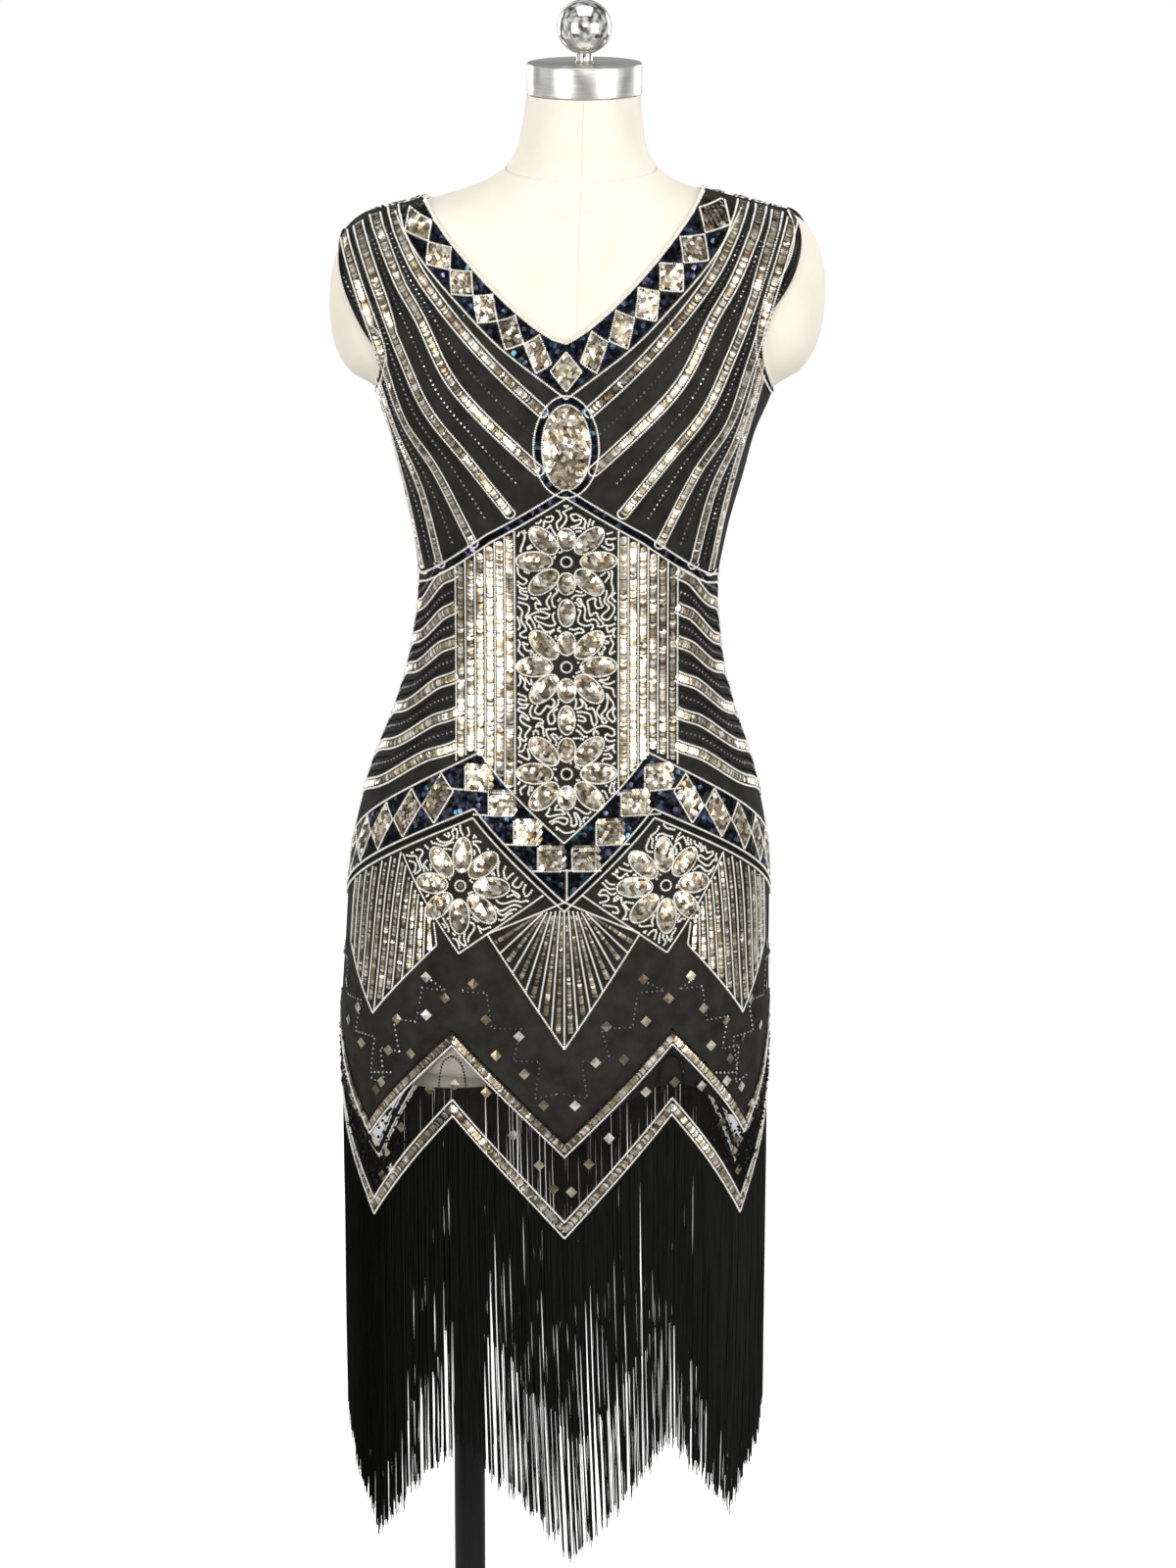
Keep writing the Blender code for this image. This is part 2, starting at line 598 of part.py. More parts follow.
def main():
    for old in list(bpy.data.objects):
        bpy.data.objects.remove(old)
    finish_object("dress_front", *build_panel(front=True), *BEADED_NET)
    finish_object("dress_back", *build_panel(front=False), *BEADED_NET)
    finish_object("slip_lining", *build_lining(), *SLIP_SATIN)
    finish_object("fringe_front", *build_fringe(front=True, seed=3), *FRINGE_YARN)
    finish_object("fringe_back", *build_fringe(front=False, seed=4), *FRINGE_YARN)
    finish_object("bodice_medallion", *build_medallion(), *GOLD_SEQUINS)
    finish_object("form_torso", *build_torso(), *IVORY_COVER)
    build_neck_fittings()
    build_stand()


main()
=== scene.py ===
"""Looks of the beaded cocktail dress on its dress form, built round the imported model.

Metres, +Z up. The shapes are worked out with X measured from the dress's centre front, as in the part's
source, and moved by -CENTRE_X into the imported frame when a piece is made. "turn" is an angle round the
figure in degrees: 0 at the centre front, 90 at +X, 180 at the centre back.
"""
import functools
import math

import bpy
import numpy as np
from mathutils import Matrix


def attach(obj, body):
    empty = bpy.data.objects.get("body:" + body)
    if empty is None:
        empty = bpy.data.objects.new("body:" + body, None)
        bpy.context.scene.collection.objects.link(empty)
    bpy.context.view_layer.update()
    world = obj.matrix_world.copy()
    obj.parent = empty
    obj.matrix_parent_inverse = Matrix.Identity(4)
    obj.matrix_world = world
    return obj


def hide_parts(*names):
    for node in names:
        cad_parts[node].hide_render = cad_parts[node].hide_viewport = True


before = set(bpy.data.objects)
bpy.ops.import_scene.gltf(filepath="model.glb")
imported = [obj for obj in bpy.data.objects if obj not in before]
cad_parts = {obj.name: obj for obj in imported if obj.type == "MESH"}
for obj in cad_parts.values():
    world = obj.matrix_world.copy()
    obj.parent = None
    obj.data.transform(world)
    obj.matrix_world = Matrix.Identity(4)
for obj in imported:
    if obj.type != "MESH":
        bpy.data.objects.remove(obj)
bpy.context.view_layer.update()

# Cloth and clearances, as in the part's source
CLOTH = 0.0015
LINING_CLOTH = 0.0010
SEAT_GAP = 0.0008
SKIRT_GAP = 0.0022
LINING_GAP = 0.0007
SLIP_CLEAR_LOW = 0.905
SLIP_CLEAR_TOP = 0.985
PIECE_GAP = 0.0003
SEAM_HALF_GAP = 0.10

# Heights and the body's lean
UNDERARM_Z = 1.207
SKIRT_Z = 0.712
STUB_FOOT_Z = 0.656
FORM_FOOT_Z = 0.672
NECK_TOP_Z = 1.437
NECK_SEAM_Z = 1.381
CENTRE_X = 0.0103
LEAN_Z = 0.700
LEAN_X = -0.008
LEAN = 0.0315

# Neckline and armholes
NECK_HALF = 0.1077
FRONT_NECK_Z = 1.2576
BACK_NECK_Z = 1.275
FRONT_NECK_CURVE = 1.35
BACK_NECK_CURVE = 1.9
ARMHOLE_TOP = 36.0
RIGHT_ARMHOLE_TOP = 38.6     # the shoulder at +X sits further in
FRONT_SCOOP = 24.0
RIGHT_FRONT_SCOOP = 26.0
BACK_SCOOP = 23.0
ARMHOLE_ROUND = 0.6
ARMHOLE_SAG = 0.75
ARMHOLE_BACK = 0.2

# Hem, slip and fringe
HEM_POINTS = 6
HEM_LOW_Z = 0.545
HEM_HIGH_Z = 0.642
BACK_LIFT = 0.018
ZIGZAG_RISE = (0.068, 0.058)   # upper zigzag above the hem, at the hem's points and between them
LINING_HEM_Z = 0.660
LINING_WAVE = 0.030
SLIP_TOP_Z = 0.880
LOCK_LENGTH = 0.265

# Grids of the shells
COLUMNS = 60
UPPER_ROWS = 36
NECK_ROW = 12
LEVELS = np.linspace(SKIRT_Z, UNDERARM_Z, 62)
SKIRT_ROWS = 10
NET_ROWS = 8
SLIP_ROWS = 26
STUMP_ROWS = 10
NECK_RINGS = 18
WELD = 1e-5

# Stumps of the form's shoulders
STUMP_X = 0.148
STUMP_Z = 1.279
STUMP_SIZE = (0.045, 0.054, 0.068)
STUMP_POWER = 2.3
BLEND = 0.05
STUMP_MIDDLE = 0.55

# Stub, stand and neck fittings
STUB_X = -0.088
STUB_RADIUS = 0.068
STUB_RINGS = ((STUB_FOOT_Z, 0.94), (STUB_FOOT_Z + 0.0015, 0.985), (STUB_FOOT_Z + 0.005, 1.0),
              (FORM_FOOT_Z, 1.0))
FOOT_RINGS = ((FORM_FOOT_Z, 0.91), (FORM_FOOT_Z + 0.0015, 0.94), (FORM_FOOT_Z + 0.006, 0.965),
              (FORM_FOOT_Z + 0.016, 0.992))
CAP_RADIUS = 0.0447
CAP_HEIGHT = 0.0243
CAP_X = 0.0158
STEM_RADIUS = 0.0062
STEM_HEIGHT = 0.007
BALL_RADIUS = 0.0212
POLE_X = -0.078
POLE_RADIUS = 0.0125
BASE_RADIUS = 0.160
BASE_HEIGHT = 0.008
SOCKET_RADIUS = 0.024
SOCKET_NECK = 0.005
SOCKET_FLANGE = 0.006
SOCKET_HEIGHT = 0.035
EDGE = 0.001

# Trim: sizes of what is sewn on
BEAD = 0.00106            # radius of a cream bead
BEAD_PITCH = 0.00178
DOT = 0.00125             # radius of a dotted bead: black glass drawn in a lighter tone, a painted highlight
DOT_PITCH = 0.0042
JET = 0.0013              # radius of a black bead
JET_PITCH = 0.0028
STRIP_WIDTH = 0.0056      # a strip of gold sequins
STRIP_PITCH = 0.0016
STRIP_LEAN = 0.12         # radians that its sequins lean along it, like shingles
STRIP_SPREAD = 0.045
ODD_SHARE = 0.12          # share of them that lie askew
ODD_ROLL = 0.35
LINE_OFFSET = 0.0042      # from a strip's middle to the cream lines beside it
SEQUIN = 0.0026           # radius of a loose sequin
SEQUIN_PITCH = 0.0032
SMALL_PITCH = 0.0031      # on the medallion and the belt's squares
HANG = 0.3                # share of the cloth's downward lean that a sequin on it takes
LIFT = 0.0009             # of a bead's or sequin's middle off the cloth
RAY_START = -0.004        # field value under which a ray of the flat pattern may start
TRIM_MARGIN = 0.8         # degrees from the armhole's edge to the nearest trim
MID_X = 0.002             # middle of the bodice pattern
DEGREE = 0.0029           # metres round the skirt for one degree of turn
ROUND_SCALE = (DEGREE, 1)
UP = np.array([0.0, 0.0, 1.0])

# Figure sections: height, half width, depth in front of the axis, depth behind it, squareness
SECTIONS = (
    (0.250, 0.1595, 0.102, 0.104, 2.15),
    (0.514, 0.1612, 0.106, 0.108, 2.15),
    (0.564, 0.1615, 0.107, 0.110, 2.15),
    (0.613, 0.1645, 0.108, 0.112, 2.15),
    (0.662, 0.1670, 0.108, 0.114, 2.15),
    (0.711, 0.1672, 0.107, 0.118, 2.15),
    (0.760, 0.1655, 0.106, 0.121, 2.15),
    (0.808, 0.1640, 0.105, 0.122, 2.15),
    (0.857, 0.1590, 0.103, 0.118, 2.15),
    (0.905, 0.1470, 0.099, 0.108, 2.15),
    (0.953, 0.1308, 0.093, 0.094, 2.15),
    (1.000, 0.1198, 0.088, 0.080, 2.15),
    (1.048, 0.1148, 0.087, 0.072, 2.15),
    (1.095, 0.1210, 0.099, 0.078, 2.15),
    (1.142, 0.1323, 0.112, 0.087, 2.20),
    (1.175, 0.1400, 0.117, 0.093, 2.25),
    (1.207, 0.1522, 0.113, 0.096, 2.30),
    (1.245, 0.1600, 0.101, 0.096, 2.35),
    (1.285, 0.1660, 0.087, 0.091, 2.40),
    (1.318, 0.1690, 0.075, 0.083, 2.35),
    (1.336, 0.1660, 0.067, 0.077, 2.25),
    (1.346, 0.1500, 0.062, 0.072, 2.15),
    (1.355, 0.1210, 0.058, 0.067, 2.05),
    (1.364, 0.0900, 0.054, 0.062, 2.00),
    (1.373, 0.0690, 0.050, 0.056, 2.00),
    (1.385, 0.0555, 0.048, 0.051, 2.00),
    (1.402, 0.0487, 0.046, 0.047, 2.00),
    (1.437, 0.0443, 0.0443, 0.0443, 2.00),
    (1.470, 0.0430, 0.0430, 0.0430, 2.00),
)

# Gold stripes of the bodice, from the shoulder or armhole inwards: distance from the middle, height
STRIPES = (
    ((0.135, 1.351), (0.117, 1.314), (0.098, 1.287), (0.073, 1.258), (0.047, 1.232), (0.018, 1.207)),
    ((0.149, 1.347), (0.129, 1.302), (0.111, 1.272), (0.090, 1.231), (0.064, 1.202), (0.021, 1.163)),
    ((0.161, 1.341), (0.143, 1.288), (0.125, 1.244), (0.105, 1.204), (0.073, 1.166), (0.043, 1.128)),
    ((0.171, 1.332), (0.157, 1.288), (0.140, 1.238), (0.123, 1.192), (0.098, 1.156), (0.071, 1.101)),
    ((0.166, 1.263), (0.150, 1.241), (0.1405, 1.212), (0.128, 1.177), (0.1105, 1.138), (0.0965, 1.080)),
    ((0.146, 1.219), (0.136, 1.183), (0.122, 1.130), (0.110, 1.070)),
)
NECK_OUTER = ((0.0, 1.216), (0.049, 1.252), (0.081, 1.283), (0.110, 1.315), (0.134, 1.350))
CHEVRON = ((0.0, 1.145), (0.059, 1.106), (0.108, 1.064))
CHEVRON_SIDE_Z = 1.056    # where the chevron meets the side seam
CHEVRON_LINES = 0.0034    # from its middle to its cream lines
CHEVRON_DROP = 0.0062     # from its middle to the top of what lies under it
CHEVRON_END = (0.1150, 0.0900)   # the body's half width and depth where its flat part ends

# Stripes at the sides of the waist: height at the columns, height at the side seam
WAIST_STRIPES = ((1.0753, 1.026), (1.0455, 0.998), (1.0187, 0.975), (0.9913, 0.943), (0.9636, 0.912),
                 (0.9382, 0.881))

# Belt: turn, height of its upper and of its lower line
BELT_UPPER = ((0.0, 0.866), (27.5, 0.9346), (90.0, 0.845))
BELT_LOWER = ((0.0, 0.819), (26.5, 0.891), (90.0, 0.806))

# Panel, columns and rosettes
PANEL_HALF = 0.0395
COLUMN_OUT = 0.0845
COLUMN_STRIPS = 6
FLOWERS_Z = (1.089, 1.003, 0.920)
PETALS = 8
ROSETTE_TURN = 28.5
ROSETTE_Z = 0.836
KITE = ((0.0, 0.0465), (0.055, 0.014), (0.0, -0.060), (-0.064, -0.011))   # outwards, up
FAN_APEX = 0.8195
FAN_CORNER = (0.0595, -0.0265)   # from the apex
FAN_TIP = -0.1185
FAN_RIBS = 6                   # on each side of the centre fan's middle line
SIDE_FAN_TOP = ((72.5, 0.8200), (49.0, 0.8510), (36.0, 0.7990))    # turn and height
SIDE_FAN_FOOT = ((73.5, 0.769), (57.0, 0.718), (35.0, 0.781))
SIDE_RIBS = 11
MEDALLION_Z = 1.180
MEDALLION_HALF = (0.0172, 0.031)
SQUARES = ((-0.022, 0.7535), (0.016, 0.7525), (-0.004, 0.737), (-0.021, 0.721), (0.026, 0.7245),
           (-0.048, 0.717), (0.050, 0.711), (-0.056, 0.688), (0.054, 0.680), (-0.036, 0.690),
           (0.034, 0.696), (0.070, 0.655), (-0.070, 0.655))
NET_SQUARES = ((-0.020, 0.662), (0.024, 0.664), (0.002, 0.668), (-0.045, 0.628), (0.046, 0.628),
               (-0.062, 0.605), (0.063, 0.604), (-0.072, 0.583), (0.074, 0.586))


def section_curves():
    """The section table as columns, with smooth slopes for cubic interpolation."""
    table = np.array(SECTIONS)
    heights, values = table[:, 0], table[:, 1:]
    chords = np.diff(values, axis=0) / np.diff(heights)[:, None]
    slopes = np.zeros_like(values)
    slopes[0], slopes[-1] = chords[0], chords[-1]
    same_way = chords[:-1] * chords[1:] > 0
    mean = 2 * chords[:-1] * chords[1:] / np.where(same_way, chords[:-1] + chords[1:], 1)
    slopes[1:-1] = np.where(same_way, mean, 0)
    return heights, values, slopes


HEIGHTS, VALUES, SLOPES = section_curves()


def section(z):
    """Half width, front depth, back depth and squareness at heights z."""
    z = np.clip(z, HEIGHTS[0], HEIGHTS[-1])
    k = np.clip(np.searchsorted(HEIGHTS, z) - 1, 0, len(HEIGHTS) - 2)
    step = HEIGHTS[k + 1] - HEIGHTS[k]
    t = ((z - HEIGHTS[k]) / step)[..., None]
    step = step[..., None]
    low, high = VALUES[k], VALUES[k + 1]
    cubic = (low * (1 + 2 * t) * (1 - t) ** 2 + high * t ** 2 * (3 - 2 * t)
             + SLOPES[k] * step * t * (1 - t) ** 2 - SLOPES[k + 1] * step * t ** 2 * (1 - t))
    return np.moveaxis(cubic, -1, 0)


def lean_x(z):
    return LEAN_X + LEAN * np.maximum(z - LEAN_Z, 0)


def smooth_step(low, high, value):
    t = np.clip((value - low) / (high - low), 0, 1)
    return t * t * (3 - 2 * t)


def figure_field(p):
    """Negative inside the figure, positive outside: stacked sections joined softly to two stumps."""
    x, y, z = np.moveaxis(np.asarray(p, float), -1, 0)
    half, front, back, power = section(z)
    across = np.abs(x - lean_x(z)) / half
    along = np.abs(y) / np.where(y < 0, front, back)
    torso = (across ** power + along ** power) ** (1 / power) - 1
    side = np.abs(x - lean_x(z)) - STUMP_X
    terms = [np.abs(v / s) ** STUMP_POWER for v, s in zip((side, y, z - STUMP_Z), STUMP_SIZE)]
    stump = (sum(terms) ** (1 / STUMP_POWER) - 1) * STUMP_SIZE[0] / 0.1
    mix = np.clip(0.5 + 0.5 * (stump - torso) / BLEND, 0, 1)
    return stump * (1 - mix) + torso * mix - BLEND * mix * (1 - mix)


def reach(origin, direction, low=None, high=None):
    """Points where rays from inside leave the figure, between lengths low and high or for good."""
    origin, direction = np.broadcast_arrays(np.asarray(origin, float), np.asarray(direction, float))
    if low is None:
        lengths = np.linspace(0, 0.30, 61)
        inside = np.stack([figure_field(origin + direction * s) < 0 for s in lengths])
        last = len(lengths) - 1 - np.argmax(inside[::-1], axis=0)
        low, high = lengths[last], lengths[np.minimum(last + 1, len(lengths) - 1)]
    for _ in range(19):
        middle = (low + high) / 2
        within = figure_field(origin + direction * middle[..., None]) < 0
        low, high = np.where(within, middle, low), np.where(within, high, middle)
    return origin + direction * ((low + high) / 2)[..., None]


def outward(p, step=0.0005):
    """Unit normals of the figure at points p."""
    grads = [figure_field(p + step * e) - figure_field(p - step * e) for e in np.eye(3)]
    grad = np.stack(grads, axis=-1)
    return grad / np.linalg.norm(grad, axis=-1, keepdims=True)


def level_rays(turn, z):
    half, front, back, _ = section(z)
    angle = np.radians(turn)
    sideways = half * np.sin(angle)
    forward = -np.where(np.cos(angle) > 0, front, back) * np.cos(angle)
    direction = np.stack([sideways, forward, np.zeros_like(sideways)], axis=-1)
    return direction / np.linalg.norm(direction, axis=-1, keepdims=True)


def low_points(turn, z):
    """Figure points at angle turn and height z, for the underarm and below."""
    turn, z = np.broadcast_arrays(np.asarray(turn, float), np.asarray(z, float))
    origin = np.stack([np.zeros_like(z), np.zeros_like(z), z], axis=-1)
    return reach(origin, level_rays(turn, z), np.zeros(z.shape), np.full(z.shape, 0.30))


def high_points(turn, rise):
    """Figure points above the underarm, at angle turn and elevation rise from the upper centre."""
    turn, rise = np.broadcast_arrays(np.asarray(turn, float), np.asarray(rise, float))
    flat = level_rays(turn, np.full(turn.shape, UNDERARM_Z))
    up = np.radians(rise)[..., None]
    direction = flat * np.cos(up) + UP * np.sin(up)
    return reach((0, 0, UNDERARM_Z), direction)


def ray_angles(p):
    """Turn and rise of points p, the reverse of high_points."""
    p = np.asarray(p, float)
    half, front, back, _ = section(np.array(UNDERARM_Z))
    depth = np.where(p[..., 1] < 0, front, back)
    turn = np.degrees(np.arctan2(p[..., 0] / half, -p[..., 1] / depth))
    rise = np.degrees(np.arctan2(p[..., 2] - UNDERARM_Z, np.hypot(p[..., 0], p[..., 1])))
    return turn, rise


def neck_height(share, front, ridge):
    """Height of the neckline at a share of the way from its centre to the shoulder seam."""
    low, curve = (FRONT_NECK_Z, FRONT_NECK_CURVE) if front else (BACK_NECK_Z, BACK_NECK_CURVE)
    return low + (ridge - low) * share ** curve


@functools.cache
def shoulder_ridge():
    """Height of the shoulder seam at the neckline, by side."""
    return {side: reach((side * NECK_HALF, 0, UNDERARM_Z), (0, 0, 1))[2] for side in (-1, 1)}


@functools.cache
def neckline(side, front, share):
    """Turn and rise at a share of the way from the centre of the neckline to the shoulder seam."""
    x = side * NECK_HALF * share
    ridge = shoulder_ridge()[side]
    facing = -1 if front else 1
    if share >= 1:
        return ray_angles((x, facing * 1e-6, ridge))
    z = neck_height(share, front, ridge)
    turn, rise = ray_angles(reach((x, 0, z), (0, facing, 0)))
    if not front and share == 0:
        turn = side * 180
    return turn, rise


def armhole_turn(side, front, share, edge=90.0):
    """Turn of the armhole's edge, from the centre front or back, at a share of its height."""
    scoop = np.where(np.asarray(side) > 0, RIGHT_FRONT_SCOOP, FRONT_SCOOP) if front else BACK_SCOOP
    bow = np.maximum(np.sin(np.pi * np.clip(share, 0, 1) ** ARMHOLE_SAG), 0)
    return edge - scoop * bow ** ARMHOLE_ROUND


def armhole_top(side):
    return np.where(np.asarray(side) > 0, RIGHT_ARMHOLE_TOP, ARMHOLE_TOP)


def armhole(side, front, share, edge):
    turn = float(armhole_turn(side, front, share, edge))
    return side * (turn if front else 180 - turn), armhole_top(side) * share


def zigzag(turn, low, high):
    """A zigzag between heights low, at the hem's points, and high, with the hem's lift at the back."""
    spacing = 360 / HEM_POINTS
    share = np.abs((turn / spacing + 0.5) % 1 - 0.5) * 2
    return low + (high - low) * share + BACK_LIFT * (1 - np.cos(np.radians(turn))) / 2


def hem_height(turn):
    return zigzag(turn, HEM_LOW_Z, HEM_HIGH_Z)


def net_height(turn):
    """Height of the upper zigzag, where the opaque cloth ends and the sheer net begins."""
    return zigzag(turn, HEM_LOW_Z + ZIGZAG_RISE[0], HEM_HIGH_Z + ZIGZAG_RISE[1])


def dress_gap(z):
    return SEAT_GAP + (SKIRT_GAP - SEAT_GAP) * smooth_step(SLIP_CLEAR_TOP, SLIP_CLEAR_LOW, z)


def half_turns(front, edge, count=COLUMNS):
    """Angles across one half of the body, in the order that makes its faces look outward."""
    turns = np.clip(np.linspace(-90, 90, count + 1), -edge, edge)
    return turns if front else turns + 180


def quarter(side, front, edge, to_stump=False):
    """Points of one upper quarter, by row from the underarm to the shoulder, as in the part's source."""
    centre = 0.0 if front else side * 180.0
    low_neck = neckline(side, front, 0)[1]
    seam = side * (edge if front else 180 - edge)
    rows = []
    for k in range(UPPER_ROWS + 1):
        if k <= NECK_ROW:
            inner = (centre, low_neck * k / NECK_ROW)
        else:
            inner = neckline(side, front, (k - NECK_ROW) / (UPPER_ROWS - NECK_ROW))
        outer = armhole(side, front, k / UPPER_ROWS, edge)
        across = np.linspace(0, 1, COLUMNS // 2 + 1)
        turn = inner[0] + (outer[0] - inner[0]) * across
        rise = inner[1] + (outer[1] - inner[1]) * across
        if k == UPPER_ROWS:
            turn = np.full(across.shape, seam)
        row = high_points(turn, rise)
        stump_edge = row[-1:].copy()
        if k > 0:
            row[-1] += (row[-2] - row[-1]) * ARMHOLE_BACK
        rows.append(np.concatenate([row, stump_edge]) if to_stump else row)
    return rows if (side > 0) == front else [row[::-1] for row in rows]


def weld(sheets):
    """Points and triangles of grids of rows, sharing the points that coincide."""
    points = np.concatenate([row for rows in sheets for row in rows])
    _, kept, place = np.unique(np.round(points / WELD).astype(int), axis=0, return_index=True,
                               return_inverse=True)
    place = place.reshape(-1)
    faces, start = [], 0
    for rows in sheets:
        width = len(rows[0])
        grid = place[start:start + width * len(rows)].reshape(len(rows), width)
        start += width * len(rows)
        a, b, c, d = grid[:-1, :-1], grid[:-1, 1:], grid[1:, 1:], grid[1:, :-1]
        for tri in ((a, b, c), (a, c, d)):
            found = np.stack([t.ravel() for t in tri], axis=1)
            first, second, third = found.T
            faces.append(found[(first != second) & (second != third) & (first != third)])
    return points[kept], np.concatenate(faces)


def wall(points, faces, inner, outer):
    """A closed wall from a sheet: its points moved out by inner and outer, joined round every open edge."""
    normals = outward(points)
    count = len(points)
    verts = np.concatenate([points + normals * np.reshape(outer, (-1, 1)),
                            points + normals * np.reshape(inner, (-1, 1))])
    edges = {}
    for f in faces.tolist():
        for a, b in zip(f, f[1:] + f[:1]):
            edges[(a, b)] = True
    rim = [(a, b) for a, b in edges if (b, a) not in edges]
    sides = [(b, a, a + count) for a, b in rim] + [(b, a + count, b + count) for a, b in rim]
    return verts, np.concatenate([faces, faces[:, ::-1] + count, np.array(sides)])


def make_piece(name, verts, faces, material, slot, smooth=True, body="root"):
    """A mesh piece from points in the dress's frame. faces is an array of triangles or a list of faces."""
    moved = np.asarray(verts, float) - np.array([CENTRE_X, 0, 0])
    mesh = bpy.data.meshes.new(name)
    if isinstance(faces, np.ndarray):
        mesh.vertices.add(len(moved))
        mesh.vertices.foreach_set("co", moved.ravel())
        mesh.loops.add(faces.size)
        mesh.loops.foreach_set("vertex_index", faces.ravel().astype(np.int32))
        mesh.polygons.add(len(faces))
        mesh.polygons.foreach_set("loop_start", np.arange(0, faces.size, 3, dtype=np.int32))
        mesh.update(calc_edges=True)
    else:
        mesh.from_pydata([tuple(v) for v in moved.tolist()], [], faces)
    mesh.validate()
    mesh.materials.append(material)
    if smooth:
        mesh.shade_smooth()
        mesh.set_sharp_from_angle(angle=math.radians(38))
    else:
        mesh.shade_flat()
    made = bpy.data.objects.new(name, mesh)
    bpy.context.collection.objects.link(made)
    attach(made, body)
    return made


# Small things that are sewn on, as templates: points and triangles. X runs along the row, Z off the cloth
def bead_shape():
    points = np.array([(1, 0, 0), (-1, 0, 0), (0, 1, 0), (0, -1, 0), (0, 0, 1), (0, 0, -1)], float)
    faces = [(0, 2, 4), (2, 1, 4), (1, 3, 4), (3, 0, 4), (2, 0, 5), (1, 2, 5), (3, 1, 5), (0, 3, 5)]
    return points, np.array(faces)


def disc_shape(sides=6, rise=0.05, back=0.06):
    """A thin faceted disc, slightly raised in the middle of its face and of its back."""
    angles = 2 * np.pi * (np.arange(sides) + 0.5) / sides
    ring = np.stack([np.cos(angles), np.sin(angles), np.zeros(sides)], axis=1)
    points = np.concatenate([ring, [(0, 0, rise), (0, 0, -back)]])
    faces = []
    for k in range(sides):
        n = (k + 1) % sides
        faces += [(k, n, sides), (n, k, sides + 1)]
    return points, np.array(faces)


BEAD_SHAPE = bead_shape()
DISC_SHAPE = disc_shape()
SQUARE_SHAPE = disc_shape(sides=4)


class Heap:
    """Many copies of small templates, gathered into one mesh."""

    def __init__(self):
        self.verts, self.faces, self.count = [], [], 0

    def add(self, shape, origins, axes, sizes):
        """Copies of shape at origins. axes holds three unit rows for each copy, sizes its three scales."""
        points, faces = shape
        if not len(origins):
            return
        sizes = np.broadcast_to(np.asarray(sizes, float), (len(origins), 3))
        placed = np.einsum("kj,nji->nki", points, axes * sizes[:, :, None]) + origins[:, None]
        index = faces[None] + (np.arange(len(origins)) * len(points))[:, None, None] + self.count
        self.verts.append(placed.reshape(-1, 3))
        self.faces.append(index.reshape(-1, 3))
        self.count += len(points) * len(origins)

    def make(self, name, material, slot, smooth=True):
        verts, faces = np.concatenate(self.verts), np.concatenate(self.faces)
        return make_piece(name, verts, faces, material, slot, smooth)


def unit(v):
    return v / np.maximum(np.linalg.norm(v, axis=-1, keepdims=True), 1e-12)


def frames_of(tangents, normals):
    """Axes of copies: along the row, across it, and off the cloth."""
    across = unit(np.cross(normals, tangents))
    along = np.cross(across, normals)
    return np.stack([along, across, normals], axis=1)


def upright(normals):
    """Axes of copies whose X points up the cloth."""
    return frames_of(unit(UP - normals * normals[:, 2:3]), normals)


def hung(axes):
    """Axes of sequins, which hang nearly plumb where the cloth under them faces down."""
    n = axes[:, 2].copy()
    n[:, 2] = np.where(n[:, 2] < 0, HANG * n[:, 2], n[:, 2])
    n = unit(n)
    t = axes[:, 0]
    return frames_of(unit(t - n * (t * n).sum(axis=1, keepdims=True)), n)


def tilted(axes, lean, roll):
    """Axes turned by small angles: lean lifts the end of X, roll lifts the end of Y."""
    along, across, off = axes[:, 0], axes[:, 1], axes[:, 2]
    lean, roll = np.reshape(lean, (-1, 1)), np.reshape(roll, (-1, 1))
    along = unit(along + off * np.tan(lean))
    across = unit(across + off * np.tan(roll))
    off = unit(np.cross(along, across))
    return np.stack([along, unit(np.cross(off, along)), off], axis=1)


def smooth_line(points, steps=10):
    """A Catmull-Rom curve through points."""
    p = np.asarray(points, float)
    if len(p) < 3:
        return p
    p = np.concatenate([[2 * p[0] - p[1]], p, [2 * p[-1] - p[-2]]])
    t = np.arange(steps)[:, None] / steps
    parts = []
    for a, b, c, d in zip(p, p[1:], p[2:], p[3:]):
        parts.append(0.5 * (2 * b + (c - a) * t + (2 * a - 5 * b + 4 * c - d) * t ** 2
                            + (3 * b - a - 3 * c + d) * t ** 3))
    return np.concatenate([*parts, p[-2:-1]])


def dense_line(points, scale=(1.0, 1.0), step=0.002):
    """A pattern line with many points between its corners. scale turns its units to metres."""
    p = np.asarray(points, float)
    parts = []
    for a, b in zip(p, p[1:]):
        count = max(int(np.linalg.norm((b - a) * scale) / step), 1)
        parts.append(a + (b - a) * (np.arange(count) / count)[:, None])
    return np.concatenate([*parts, p[-1:]])


def along_line(line, shares):
    """Points at shares of the length of a pattern line."""
    line = np.asarray(line, float)
    run = np.concatenate([[0], np.cumsum(np.linalg.norm(np.diff(line, axis=0), axis=1))])
    run /= run[-1]
    return np.stack([np.interp(shares, run, line[:, k]) for k in range(2)], axis=-1)


def walk(points, normals, pitch):
    """Points, tangents and normals every pitch along a line in space."""
    run = np.concatenate([[0], np.cumsum(np.linalg.norm(np.diff(points, axis=0), axis=1))])
    length = run[-1]
    count = int(round(length / pitch))
    if count < 1:
        return np.zeros((0, 3)), np.zeros((0, 3)), np.zeros((0, 3))
    at = length * (np.arange(count) + 0.5) / count
    p = np.stack([np.interp(at, run, points[:, k]) for k in range(3)], axis=1)
    n = unit(np.stack([np.interp(at, run, normals[:, k]) for k in range(3)], axis=1))
    slope = unit(np.gradient(points, axis=0))
    t = unit(np.stack([np.interp(at, run, slope[:, k]) for k in range(3)], axis=1))
    return p, t, n


